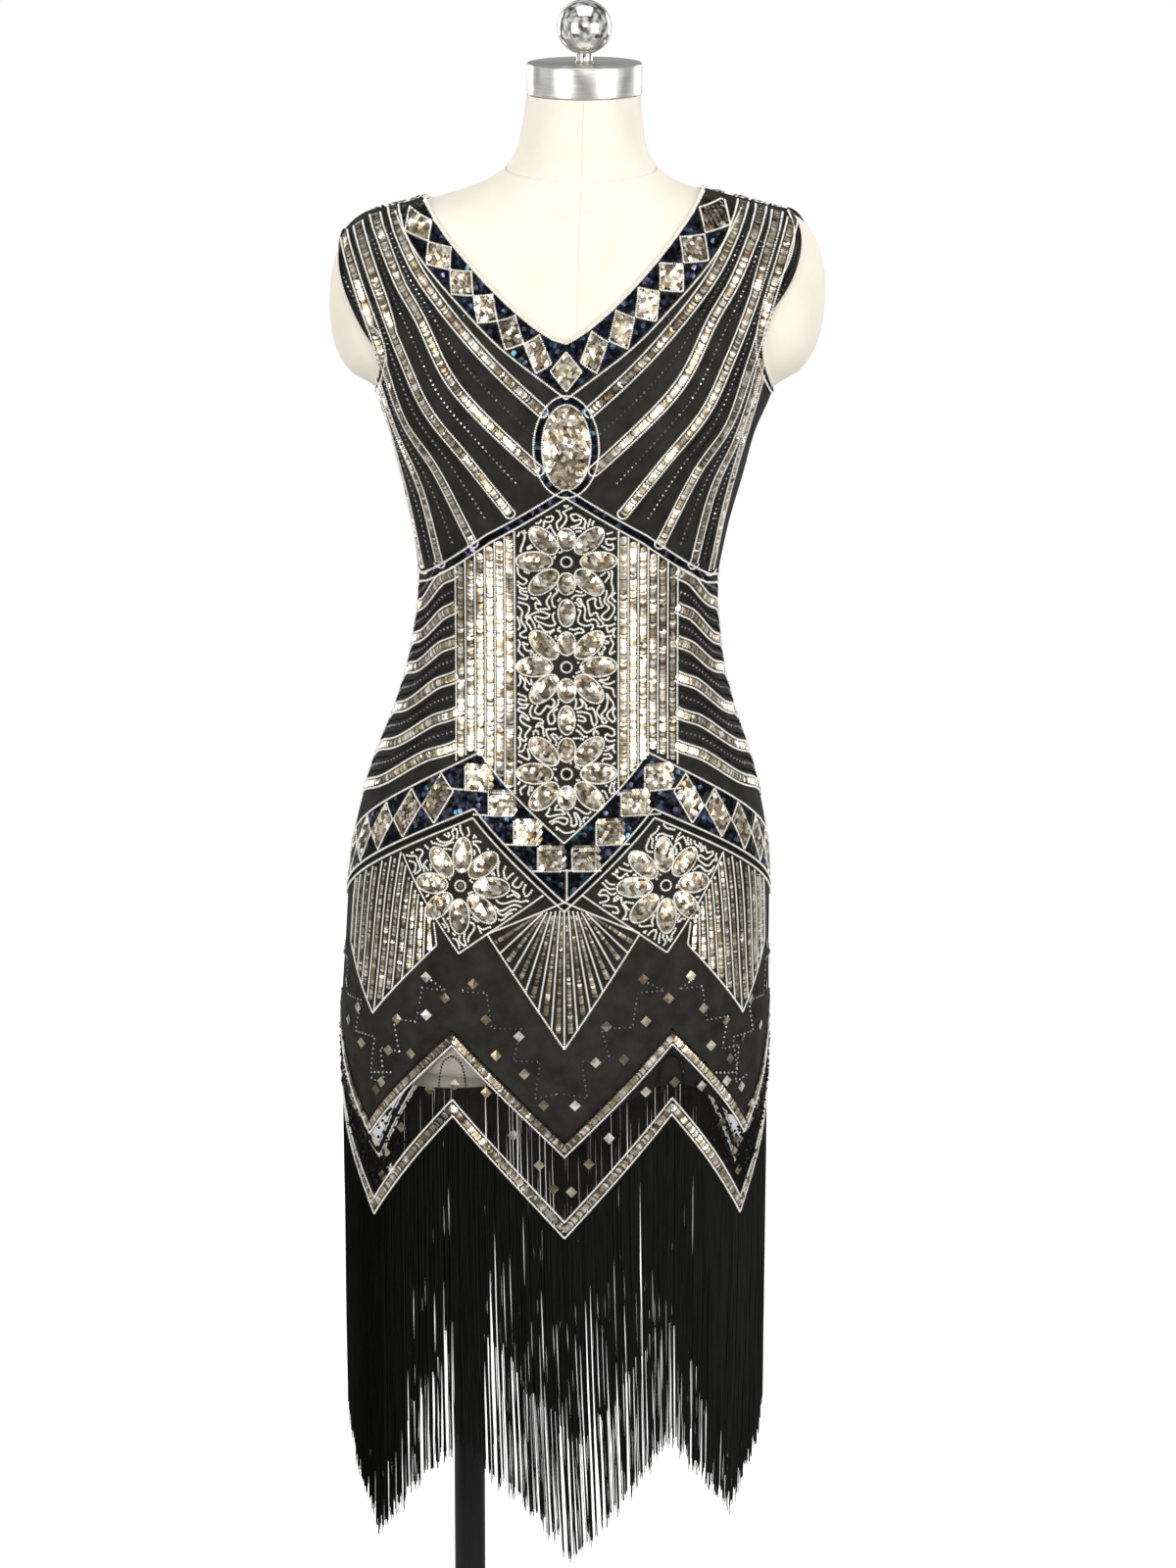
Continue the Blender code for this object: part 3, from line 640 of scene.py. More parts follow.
def on_cloth(p, front):
    """Which points lie inside the armholes' edges."""
    turn, rise = ray_angles(p)
    limit = armhole_turn(turn, front, rise / armhole_top(turn)) - TRIM_MARGIN
    turn = np.abs(turn) if front else 180 - np.abs(turn)
    return (p[:, 2] < UNDERARM_Z) | (turn < limit)


class Half:
    """One half of the dress and the trim that is sewn on it."""

    def __init__(self, front, seed):
        self.front = front
        self.facing = -1 if front else 1
        self.rng = np.random.default_rng(seed)
        self.name = "front" if front else "back"
        self.cream, self.gold, self.dark, self.jet, self.dots, self.squares = (Heap() for _ in range(6))

    def seat(self, p, ok):
        """Surface points of the cloth's outer face, with their normals."""
        normals = outward(p)
        return p + normals * (dress_gap(p[:, 2]) + CLOTH)[:, None], normals, ok

    def flat(self, uv):
        """Pattern points (distance from the bodice's middle, height), as seen from in front or behind."""
        uv = np.asarray(uv, float)
        x, z = uv[:, 0] + MID_X, uv[:, 1]
        middle = np.stack([x, np.zeros_like(x), z], axis=-1)
        ok = figure_field(middle) < RAY_START
        p = reach(middle, (0, self.facing, 0), np.zeros(len(x)), np.full(len(x), 0.2))
        return self.seat(p, ok & on_cloth(p, self.front))

    def round(self, uv):
        """Pattern points (turn from this half's middle, height)."""
        uv = np.asarray(uv, float)
        turn = uv[:, 0] if self.front else 180 - uv[:, 0]
        return self.seat(low_points(turn, uv[:, 1]), np.abs(uv[:, 0]) <= 90)

    def patch(self, turn, z):
        """A mapping for pattern points in metres round (turn, z)."""
        near = self.round([(turn - 1, z), (turn + 1, z)])[0]
        per_degree = np.linalg.norm(near[1] - near[0]) / 2

        def where(uv):
            uv = np.asarray(uv, float)
            return self.round(np.stack([turn + uv[:, 0] / per_degree, z + uv[:, 1]], axis=-1))
        return where

    def row(self, where, line, pitch, lift, offset=0.0):
        """Positions and axes every pitch along a pattern line, offset sideways on the cloth."""
        p, n, ok = where(line)
        if ok.sum() < 3:
            return np.zeros((0, 3)), np.zeros((0, 3, 3))
        p, n = p[ok], n[ok]
        if offset:
            p = p + unit(np.cross(n, unit(np.gradient(p, axis=0)))) * offset
        p, t, n = walk(p + n * lift, n, pitch)
        return p, frames_of(t, n)

    def cream_line(self, where, line, offset=0.0, lift=LIFT, size=BEAD):
        """A row of cream beads."""
        p, axes = self.row(where, line, BEAD_PITCH, lift, offset)
        grow = size * (1 + self.rng.uniform(-0.10, 0.10, (len(p), 3)))
        axes = tilted(axes, self.rng.uniform(-0.2, 0.2, len(p)), self.rng.uniform(-0.2, 0.2, len(p)))
        self.cream.add(BEAD_SHAPE, p, axes, grow)

    def bead_row(self, heap, where, line, pitch, lift, size):
        p, axes = self.row(where, line, pitch, lift)
        heap.add(BEAD_SHAPE, p, axes, size * (1 + self.rng.uniform(-0.1, 0.1, (len(p), 3))))

    def jet_line(self, where, line, pitch=JET_PITCH, size=JET):
        """A close row of black beads."""
        self.bead_row(self.jet, where, line, pitch, 0.0004, size)

    def dot_line(self, where, line):
        """A dotted row of small black beads, drawn in a lighter tone as a painted highlight."""
        self.bead_row(self.dots, where, line, DOT_PITCH, 0.0005, DOT)

    def dark_row(self, where, line, pitch):
        """A row of iridescent black sequins."""
        p, axes = self.row(where, line, pitch, 0.0008)
        lean, roll = self.rng.normal(0, 0.15, len(p)), self.rng.normal(0, 0.15, len(p))
        self.dark.add(DISC_SHAPE, p, tilted(axes, lean, roll), SEQUIN)

    def gold_strip(self, where, line, width=STRIP_WIDTH, end_width=None, lines=True, turned=0.0):
        """A shingled row of gold sequins, with a cream line on each side where lines says so.

        turned is added to the roll of all its sequins, in radians.
        """
        p, axes = self.row(where, line, STRIP_PITCH, 0.0010)
        if len(p):
            end_width = width if end_width is None else end_width
            wide = np.linspace(width, end_width, len(p)) / 2
            wide = wide * (1 + self.rng.uniform(-0.05, 0.05, len(p)))
            at = np.arange(len(p)) * STRIP_PITCH
            wave = np.sin(at * 2 * np.pi / self.rng.uniform(0.05, 0.11) + self.rng.uniform(0, 6.3))
            lean = STRIP_LEAN + self.rng.normal(0, STRIP_SPREAD, len(p)) + 0.06 * wave
            roll = self.rng.normal(0, STRIP_SPREAD, len(p)) + 0.05 * np.sin(at * 2 * np.pi / 0.031)
            odd = self.rng.random(len(p)) < ODD_SHARE
            roll = np.where(odd, self.rng.uniform(-ODD_ROLL, ODD_ROLL, len(p)), roll)
            sizes = np.stack([np.maximum(wide * 0.62, 0.0014), wide, wide * 0.8], axis=1)
            roll = roll + turned * self.facing
            self.gold.add(DISC_SHAPE, p, tilted(hung(axes), lean, roll), sizes)
        if lines:
            for side in (-1, 1):
                self.cream_line(where, line, side * LINE_OFFSET)

    def scatter(self, heap, where, uv, size, lift=LIFT, tilt=0.16, turn=None, slope=None):
        """Loose sequins at pattern points. slope is how what they lie on rises sideways and upwards."""
        if not len(uv):
            return
        p, n, ok = where(np.asarray(uv, float))
        lift = np.broadcast_to(lift, (len(p),))[ok]
        size = np.broadcast_to(size, (len(p),))[ok]
        p, n = p[ok], n[ok]
        axes = upright(n)
        if turn is not None:
            x, y, off = axes[:, 0], axes[:, 1], axes[:, 2]
            c, s = math.cos(turn), math.sin(turn)
            axes = np.stack([x * c + y * s, y * c - x * s, off], axis=1)
        lean, roll = self.rng.normal(0, tilt, len(p)), self.rng.normal(0, tilt, len(p))
        if slope is not None:
            lean = lean + slope[ok, 1]
            roll = roll + slope[ok, 0] * self.facing
        axes = tilted(hung(axes), lean, roll)
        scale = size[:, None] * np.array([1.0, 1.0, 0.8])
        shape = SQUARE_SHAPE if heap is self.squares else DISC_SHAPE
        heap.add(shape, p + n * lift[:, None], axes, scale)


def hex_grid(wide, high, pitch=SEQUIN_PITCH):
    """Points of a staggered grid over a rectangle centred on 0."""
    rows = np.arange(-high, high + pitch, pitch * 0.86)
    out = []
    for k, v in enumerate(rows):
        u = np.arange(-wide, wide + pitch, pitch) + (pitch / 2 if k % 2 else 0)
        out.append(np.stack([u, np.full(len(u), v)], axis=1))
    return np.concatenate(out)


def ellipse(centre, half_long, half_wide, angle, count=40):
    """A closed ellipse as a pattern line. angle is that of its long axis."""
    t = np.linspace(0, 2 * np.pi, count + 1)
    c, s = math.cos(angle), math.sin(angle)
    u, v = half_long * np.cos(t), half_wide * np.sin(t)
    return np.stack([centre[0] + u * c - v * s, centre[1] + u * s + v * c], axis=1)


def in_ellipse(uv, centre, half_long, half_wide, angle):
    """Squared distance from the middle of an ellipse, 1 on its edge."""
    c, s = math.cos(angle), math.sin(angle)
    du, dv = uv[:, 0] - centre[0], uv[:, 1] - centre[1]
    return ((du * c + dv * s) / half_long) ** 2 + ((dv * c - du * s) / half_wide) ** 2


PETAL_MIDDLE = 0.0245
PETAL_HALF = (0.0138, 0.0078)
PETAL_RISE = 0.0020
SHORT_MIDDLE = 0.0185     # the upright petals of the panel's flowers are shorter
SHORT_HALF = (0.0092, 0.0068)
BUD_HALF = (0.0110, 0.0064)
FLOWER_EYE = 0.0042
EYE_CLEAR = 0.0085        # from a flower's middle to the nearest winding line
PETAL_CLEAR = 0.0014      # the same from a petal's edge
BUD_CLEAR = 0.0019


def petals_of(centre, short=False):
    """Centre, angle and half sizes of each petal of a flower. short is for the panel's flowers."""
    made = []
    for k in range(PETALS):
        angle = math.pi / 2 + 2 * math.pi * k / PETALS
        upright = short and k % (PETALS // 2) == 0
        middle, size = (SHORT_MIDDLE, SHORT_HALF) if upright else (PETAL_MIDDLE, PETAL_HALF)
        made.append(((centre[0] + middle * math.cos(angle), centre[1] + middle * math.sin(angle)),
                     angle, size))
    return made


def clear_of(uv, petals, margin):
    """Which pattern points are more than margin outside all the petals."""
    clear = np.ones(len(uv), bool)
    for centre, angle, size in petals:
        clear &= in_ellipse(uv, centre, size[0] + margin, size[1] + margin, angle) > 1
    return clear


def petal(half, where, centre, angle, size):
    """A domed petal of gold sequins with a cream outline."""
    half.cream_line(where, ellipse(centre, size[0], size[1], angle), lift=0.0008)
    grid = hex_grid(size[0], size[0]) + np.array(centre)
    far = in_ellipse(grid, centre, size[0] - 0.0015, size[1] - 0.0015, angle)
    grid, far = grid[far < 1.05], far[far < 1.05]
    rise = 2 * PETAL_RISE
    c, s = math.cos(angle), math.sin(angle)
    du, dv = grid[:, 0] - centre[0], grid[:, 1] - centre[1]
    along, across = (du * c + dv * s) / size[0] ** 2, (dv * c - du * s) / size[1] ** 2
    slope = -rise * np.stack([along * c - across * s, along * s + across * c], axis=1) * 0.8
    lift = LIFT + PETAL_RISE * (1 - np.clip(far, 0, 1))
    half.scatter(half.gold, where, grid, SEQUIN, lift, tilt=0.11, slope=slope)


def flower(half, where, centre, short=False):
    """A rosette of petals round a ring of cream beads."""
    for middle, angle, size in petals_of(centre, short):
        petal(half, where, middle, angle + half.rng.uniform(-0.05, 0.05), size)
    half.cream_line(where, ellipse(centre, FLOWER_EYE, FLOWER_EYE, 0, 16), lift=0.0012)
    half.scatter(half.jet, where, np.array([centre]), 0.0026, lift=0.001)


WAYS = ((1, 0), (-1, 0), (0, 1), (0, -1))   # from a cell of a grid to its neighbours


def random_tree(rng, cols, rows):
    """Links between neighbouring cells of a grid that form one tree."""
    middle = (cols // 2, rows // 2)
    links, inside = set(), {middle}
    edge = [(middle, way) for way in WAYS]
    while edge:
        k = int(rng.integers(len(edge)))
        cell, step = edge.pop(k)
        near = (cell[0] + step[0], cell[1] + step[1])
        if near in inside or not (0 <= near[0] < cols and 0 <= near[1] < rows):
            continue
        inside.add(near)
        links.add((cell, near))
        links.add((near, cell))
        edge += [(near, way) for way in WAYS]
    return links


def meander(rng, wide, high, pitch):
    """A closed winding line that fills a rectangle centred on 0: the way round a random tree."""
    cols, rows = max(int(wide / pitch), 2), max(int(high / pitch), 2)
    links = random_tree(rng, cols, rows)
    near = {}

    def join(a, b):
        near.setdefault(a, []).append(b)
        near.setdefault(b, []).append(a)

    for i in range(cols):
        for j in range(rows):
            x, y = 2 * i, 2 * j
            for step, a, b in (((1, 0), (x + 1, y), (x + 1, y + 1)), ((-1, 0), (x, y), (x, y + 1)),
                               ((0, 1), (x, y + 1), (x + 1, y + 1)), ((0, -1), (x, y), (x + 1, y))):
                if ((i, j), (i + step[0], j + step[1])) not in links:
                    join(a, b)
                elif step in ((1, 0), (0, 1)):
                    join(a, (a[0] + step[0], a[1] + step[1]))
                    join(b, (b[0] + step[0], b[1] + step[1]))
    path, last, here = [(0, 0)], None, (0, 0)
    while True:
        after = near[here][0] if near[here][0] != last else near[here][1]
        last, here = here, after
        if here == (0, 0):
            break
        path.append(here)
    p = np.array(path, float)
    p = (p + 0.5 - np.array([cols, rows])) * np.array([wide / cols, high / rows])
    p += rng.normal(0, pitch * 0.17, p.shape)
    for _ in range(3):
        after = np.roll(p, -1, axis=0)
        p = np.stack([p * 0.75 + after * 0.25, p * 0.25 + after * 0.75], axis=1).reshape(-1, 2)
    phase = rng.uniform(0, 6.3, 4)
    x, y = p[:, 0], p[:, 1]
    wave_x = np.sin(y * 420 + phase[0]) + np.sin(y * 260 + x * 230 + phase[1])
    wave_y = np.sin(x * 400 + phase[2]) + np.sin(x * 270 - y * 210 + phase[3])
    p = p + 0.0013 * np.stack([wave_x, wave_y], axis=1)
    return np.concatenate([p, p[:1]])


def vermicelli(half, where, centre, wide, high, keep, pitch=0.0039):
    """Winding cream lines over the part of a rectangle where keep says so."""
    line = meander(half.rng, wide, high, pitch) + np.array(centre)
    kept = keep(line)
    changes = np.nonzero(kept[1:] != kept[:-1])[0] + 1
    for run in np.split(np.arange(len(line)), changes):
        if kept[run[0]] and len(run) > 4:
            half.cream_line(where, line[run], size=BEAD * 1.10)


def band_point(inner, outer, along, across):
    """Pattern points of a band between two lines: along from 0 to 1, across from -1 to 1."""
    a, b = along_line(inner, along), along_line(outer, along)
    w = ((across + 1) / 2)[:, None]
    return a + (b - a) * w


def lozenge_band(half, where, inner, outer, length, width, centres, reach_along, high=0.86):
    """Gold lozenges in cream outlines between iridescent black sequins.

    length and width are the band's size in metres, centres the lozenges' places along it, reach_along and
    high their half sizes along the band, in metres, and across it, as a share.
    """
    half.cream_line(where, inner)
    half.cream_line(where, outer)
    reach_along = reach_along / length
    for c in centres:
        along = np.array([c - reach_along, c, c + reach_along, c, c - reach_along])
        across = np.array([0, high, 0, -high, 0])
        t = np.linspace(0, 4, 33)
        line = band_point(inner, outer, np.interp(t, range(5), along), np.interp(t, range(5), across))
        half.cream_line(where, line)
    t = np.arange(0.002, length - 0.001, SEQUIN_PITCH) / length
    w = np.arange(-1, 1.01, 2 * SEQUIN_PITCH * 0.9 / width)
    grid_t, grid_w = np.meshgrid(t, w)
    grid_t = grid_t + (np.arange(len(w)) % 2)[:, None] * SEQUIN_PITCH / 2 / length
    grid_t, grid_w = grid_t.ravel(), grid_w.ravel()
    far = np.array([np.abs(grid_t - c) / reach_along + np.abs(grid_w) / high for c in centres])
    own, nearest = np.argmin(far, axis=0), np.min(far, axis=0)
    uv = band_point(inner, outer, grid_t, grid_w)
    gold = nearest < 0.86
    slope = half.rng.normal(0, 0.13, (len(centres), 2))[own[gold]]
    half.scatter(half.gold, where, uv[gold], SEQUIN, 0.0012, tilt=0.10, slope=slope)
    dark = (nearest > 1.22) & (np.abs(grid_w) < 0.90)
    half.scatter(half.dark, where, uv[dark], SEQUIN * 0.9, 0.0007, tilt=0.14)


def mirror(points, side):
    return np.asarray(points, float) * np.array([side, 1.0])


def neck_band(half):
    """The band round the neckline."""
    shares = np.linspace(0, 1, 13)
    outer = smooth_line(NECK_OUTER)
    lift = (BACK_NECK_Z - FRONT_NECK_Z) * np.clip(1 - outer[:, 0] / NECK_HALF, 0, 1) * (not half.front)
    outer = outer + np.stack([np.zeros(len(outer)), lift], axis=1)
    for side in (-1, 1):
        height = neck_height(shares, half.front, shoulder_ridge()[side]) - 0.0012
        inner = np.stack([side * NECK_HALF * shares - MID_X, height], axis=1)
        inner[0, 0] = 0
        centres = 0.150 + (0.157 if side > 0 else 0.152) * np.arange(6)
        lozenge_band(half, half.flat, inner, mirror(outer, side), length=0.172, width=0.030,
                     centres=centres, reach_along=0.0128)
    wide, high = 0.0120, 0.0145
    p = np.array([(0, high), (wide, 0), (0, -high), (-wide, 0), (0, high)])
    middle = np.array([0.0, (inner[0, 1] + outer[0, 1]) / 2])
    half.cream_line(half.flat, dense_line(p + middle))
    grid = hex_grid(0.012, 0.014)
    grid = grid[np.abs(grid[:, 0]) / wide + np.abs(grid[:, 1]) / high < 0.86]
    half.scatter(half.gold, half.flat, grid + middle, SEQUIN, 0.0012, tilt=0.12)


def loop_end(ray):
    """Half a ring that closes the cream lines at the end of a strip."""
    ahead = unit(ray[-1] - ray[-2])
    beside = np.array([-ahead[1], ahead[0]])
    angles = np.linspace(0, np.pi, 9)[:, None]
    return ray[-1] + LINE_OFFSET * (np.cos(angles) * beside + np.sin(angles) * ahead)


def run_on(stripe, length=0.009):
    """A point a little past the upper end of a stripe."""
    first, second = np.array(stripe[0]), np.array(stripe[1])
    return tuple(first + unit(first - second) * length)


def bodice(half):
    """Curved rays from the shoulders and armholes to the chevron, with black beads between."""
    for side in (-1, 1):
        rays = [mirror(smooth_line([run_on(stripe), *stripe]), side) for stripe in STRIPES]
        band = mirror(smooth_line(NECK_OUTER) + np.array([0.0, -0.006]), side)
        for ray in rays:
            half.gold_strip(half.flat, dense_line(ray))
            half.cream_line(half.flat, loop_end(ray))
        for first, second in zip([band] + rays[:-1], rays):
            shares = np.linspace(0.02, 0.97, 60)
            a, b = along_line(first, shares), along_line(second, shares)
            gap = np.linalg.norm(a - b, axis=1)
            close, wide = gap < 0.024, gap > 0.015
            for part in (0.34, 0.66):
                if close.sum() > 3:
                    half.jet_line(half.flat, (a + (b - a) * part)[close])
            if wide.sum() > 3:
                half.dot_line(half.flat, (a + (b - a) * 0.5)[wide])


def chevron(half):
    """Two cream lines with iridescent black between, from the medallion to the side seams."""
    for side in (-1, 1):
        line = dense_line(mirror(CHEVRON, side))
        end = half.flat(line)[0][-1]
        across, depth = end[0] / CHEVRON_END[0], abs(end[1]) / CHEVRON_END[1]
        start_turn = abs(float(np.degrees(np.arctan2(across, depth))))
        low = [(side * start_turn, CHEVRON[-1][1]), (side * 90.0, CHEVRON_SIDE_Z)]
        low = dense_line(low, (0.002, 1))
        for offset in (-CHEVRON_LINES, CHEVRON_LINES):
            half.cream_line(half.flat, line, offset)
        half.dark_row(half.flat, line, 0.0022)
        for offset in (-CHEVRON_LINES, CHEVRON_LINES):
            half.cream_line(half.round, low, offset)


def medallion_rings(half):
    """Cream rings round the oval medallion, and a black ring between them."""
    def ring(grow):
        wide, high = MEDALLION_HALF[0] + grow, MEDALLION_HALF[1] + grow
        return ellipse((0.0, MEDALLION_Z), high, wide, math.pi / 2, 70)

    for grow in (0.0012, 0.0076):
        half.cream_line(half.flat, ring(grow))
    half.dark_row(half.flat, ring(0.0044), 0.0023)


def medallion_fill(half):
    """Shingled sequins over the medallion's dome."""
    grid = hex_grid(0.034, 0.034, SMALL_PITCH)
    far = (grid[:, 0] / MEDALLION_HALF[0]) ** 2 + (grid[:, 1] / MEDALLION_HALF[1]) ** 2
    grid, far = grid[far < 0.94], far[far < 0.94]
    slope = -0.0052 * grid / np.array(MEDALLION_HALF) ** 2
    half.scatter(half.gold, half.flat, grid + np.array([0.0, MEDALLION_Z]), SEQUIN * 1.15,
                 0.0012 + 0.0026 * (1 - far), tilt=0.12, slope=slope)


def chevron_low(x):
    """Height just under the chevron at a distance x from the middle."""
    x = np.abs(x)
    line = np.array(CHEVRON)
    return np.interp(x, line[:, 0], line[:, 1]) - CHEVRON_DROP


def belt_edge(turn):
    """Height of the belt's upper line."""
    table = np.array(BELT_UPPER)
    return np.interp(np.abs(turn), table[:, 0], table[:, 1])


def turn_at(half, x, z):
    """Turn from this half's middle of the flat pattern point (x, z)."""
    p = half.flat(np.array([(x, z)]))[0][0]
    wide, front, back, _ = section(np.array(z))
    depth = front if half.front else back
    return float(np.degrees(np.arctan2(p[0] / wide, abs(p[1]) / depth)))


def centre_panel(half):
    """Vermicelli panel with three flowers between the columns of vertical strips."""
    flowers = [(0.0, z) for z in FLOWERS_Z]
    petals = [made for centre in flowers for made in petals_of(centre, True)]
    buds = [((0.0, (a + b) / 2), math.pi / 2, BUD_HALF) for a, b in zip(FLOWERS_Z, FLOWERS_Z[1:])]
    for bud in buds:
        petal(half, half.flat, *bud)
    for centre in flowers:
        flower(half, half.flat, centre, True)
    side_turn = abs(turn_at(half, PANEL_HALF, 0.90))

    def keep(uv):
        inside = (np.abs(uv[:, 0]) < PANEL_HALF - 0.002) & (uv[:, 1] < chevron_low(uv[:, 0]) - 0.002)
        inside &= uv[:, 1] > belt_edge(np.abs(uv[:, 0]) / PANEL_HALF * side_turn) + 0.003
        inside &= clear_of(uv, petals, PETAL_CLEAR) & clear_of(uv, buds, BUD_CLEAR)
        for centre in flowers:
            inside &= np.hypot(uv[:, 0] - centre[0], uv[:, 1] - centre[1]) > EYE_CLEAR
        return inside

    vermicelli(half, half.flat, (0.0, 1.0), PANEL_HALF, 0.145, keep)
    step = (COLUMN_OUT - PANEL_HALF) / COLUMN_STRIPS
    for side in (-1, 1):
        for k in range(COLUMN_STRIPS + 1):
            x = side * (PANEL_HALF + step * k)
            low = belt_edge(turn_at(half, x, 0.92)) + 0.001
            line = dense_line([(x, chevron_low(x) + 0.001), (x, low)])
            half.cream_line(half.flat, line)
            if k < COLUMN_STRIPS:
                x = side * (PANEL_HALF + step * (k + 0.5))
                low = belt_edge(turn_at(half, x, 0.92)) + 0.003
                line = dense_line([(x, chevron_low(x) - 0.002), (x, low)])
                half.gold_strip(half.flat, line, width=0.0058, lines=False,
                                turned=0.17 if side > 0 and k > 0 else 0.0)


def waist_stripes(half):
    """Slightly wavy gold stripes from the columns down to the side seams."""
    for side in (-1, 1):
        paths = []
        for inner_z, outer_z in WAIST_STRIPES:
            start = abs(turn_at(half, side * COLUMN_OUT, inner_z))
            t = np.linspace(0, 1, 60)
            wave = 0.0030 * np.sin(t * 2 * np.pi * 1.3 + half.rng.uniform(0, 1.0))
            z = inner_z + (outer_z - inner_z) * t ** 0.9 + wave * np.minimum(t * 5, 1)
            paths.append(np.stack([side * (start + (90 - start) * t), z], axis=1))
        for path in paths:
            half.gold_strip(half.round, path)
        ends = [paths[0] + np.array([0, 0.024])] + paths
        for first, second in zip(ends, paths):
            for part in (0.33, 0.67):
                half.jet_line(half.round, first + (second - first) * part, pitch=0.0026, size=0.0011)
            half.dot_line(half.round, first + (second - first) * 0.5)


STEPS = ((0.0132, 0.8530), (0.0316, 0.8735), (0.0508, 0.8955), (0.0686, 0.9140))   # squares of the belt
STEP_HALF = 0.0084
BELT_SLOPE = 0.937           # rise of the belt's inner legs for each metre outwards
INNER_LEG = 0.094            # their length
LEG_ROWS = 10                # of dark sequins across them


def belt(half):
    """The zigzag belt: lozenges on its outer legs, and squares in steps on the inner ones."""
    foot = STEPS[0][1] - STEP_HALF
    half.cream_line(half.flat, dense_line([(0.0, foot + 0.001), (0.0, BELT_LOWER[0][1] + 0.002)]))
    half.cream_line(half.flat, dense_line([(-0.005, foot), (0.005, foot)]))
    for side in (-1, 1):
        upper = dense_line(mirror(BELT_UPPER[1:], side), ROUND_SCALE)
        lower = dense_line(mirror(BELT_LOWER[1:], side), ROUND_SCALE)
        lozenge_band(half, half.round, upper, lower, length=0.178, width=0.031,
                     centres=0.19 + 0.165 * np.arange(5), reach_along=0.0140, high=0.90)
        upper = dense_line(mirror(BELT_UPPER[:2], side), ROUND_SCALE)
        lower = dense_line(mirror(BELT_LOWER[:2], side), ROUND_SCALE)
        half.cream_line(half.round, upper)
        half.cream_line(half.round, lower)
        t = np.arange(0.002, INNER_LEG, SEQUIN_PITCH) / INNER_LEG
        t, w = np.meshgrid(t, np.linspace(-0.88, 0.88, LEG_ROWS))
        t = np.clip(t + (np.arange(LEG_ROWS) % 2)[:, None] * 0.017, 0, 1)
        uv = band_point(upper, lower, t.ravel(), w.ravel())
        p = half.round(uv)[0]
        x, z = np.abs(p[:, 0] - MID_X), p[:, 2]
        near = np.min([np.maximum(np.abs(x - a), np.abs(z - b)) for a, b in STEPS], axis=0)
        half.scatter(half.dark, half.round, uv[near > STEP_HALF + 0.0012], SEQUIN * 0.9, 0.0007, tilt=0.14)
        corner = STEP_HALF + 0.0006
        for a, b in STEPS:
            box = [(a - corner, b - corner), (a + corner, b - corner), (a + corner, b + corner),
                   (a - corner, b + corner), (a - corner, b - corner)]
            half.cream_line(half.flat, dense_line(mirror(box, side)))
            grid = hex_grid(STEP_HALF - 0.0021, STEP_HALF - 0.0018, SMALL_PITCH) + np.array([side * a, b])
            slope = np.tile(half.rng.normal(0, 0.13, 2), (len(grid), 1))
            half.scatter(half.gold, half.flat, grid, SEQUIN, 0.0012, tilt=0.10, slope=slope)
        for a, b in STEPS:
            foot = b - corner
            edge = (foot - BELT_LOWER[0][1]) / BELT_SLOPE
            if edge > a + corner + 0.003:
                half.cream_line(half.flat, dense_line(mirror([(a + corner, foot), (edge, foot)], side)))
        below = dense_line(mirror(BELT_LOWER, side), ROUND_SCALE) - np.array([0.0, 0.0072])
        half.cream_line(half.round, below)
        for rise in (0.0023, 0.0048):
            half.jet_line(half.round, below + np.array([0.0, rise]), pitch=0.0023, size=0.0011)


def rosettes(half):
    """A flower on vermicelli in a kite-shaped frame, at each side of the middle."""
    centre = (0.0, -0.006)
    petals = petals_of(centre)
    for side in (-1, 1):
        where = half.patch(side * ROSETTE_TURN, ROSETTE_Z)
        kite = mirror(np.array([*KITE, KITE[0]]), side)
        half.cream_line(where, dense_line(kite[1:4]))
        flower(half, where, centre)

        def keep(uv):
            inside = np.ones(len(uv), bool)
            for a, b in zip(kite, kite[1:]):
                across = (b[0] - a[0]) * (uv[:, 1] - a[1]) - (b[1] - a[1]) * (uv[:, 0] - a[0])
                inside &= -side * across / np.hypot(*(b - a)) > 0.0022
            inside &= clear_of(uv, petals, PETAL_CLEAR)
            return inside & (np.hypot(uv[:, 0], uv[:, 1] - centre[1]) > EYE_CLEAR)

        vermicelli(half, where, centre, 0.056, 0.058, keep)


def centre_fan(half):
    """Gold ribs between cream lines that spread from the belt's lowest point."""
    where = half.patch(0.0, FAN_APEX)
    apex, tip = np.zeros(2), np.array([0.0, FAN_TIP])
    for side in (-1, 1):
        corner = mirror(FAN_CORNER, side)
        half.cream_line(where, dense_line([corner, tip]))
        half.cream_line(where, dense_line([apex, corner]))
        starts = [apex + (corner - apex) * 0.30 * k / FAN_RIBS for k in range(FAN_RIBS + 1)]
        ends = [tip + (corner - tip) * k / FAN_RIBS for k in range(FAN_RIBS + 1)]
        for k in range(FAN_RIBS):
            if k or side > 0:
                half.cream_line(where, dense_line([starts[k] + (ends[k] - starts[k]) * 0.05, ends[k]]))
            begin, end = (starts[k] + starts[k + 1]) / 2, (ends[k] + ends[k + 1]) / 2
            begin, end = begin + (end - begin) * 0.10, begin + (end - begin) * 0.95
            half.gold_strip(where, dense_line([begin, end]), width=0.0016, end_width=0.0044, lines=False)


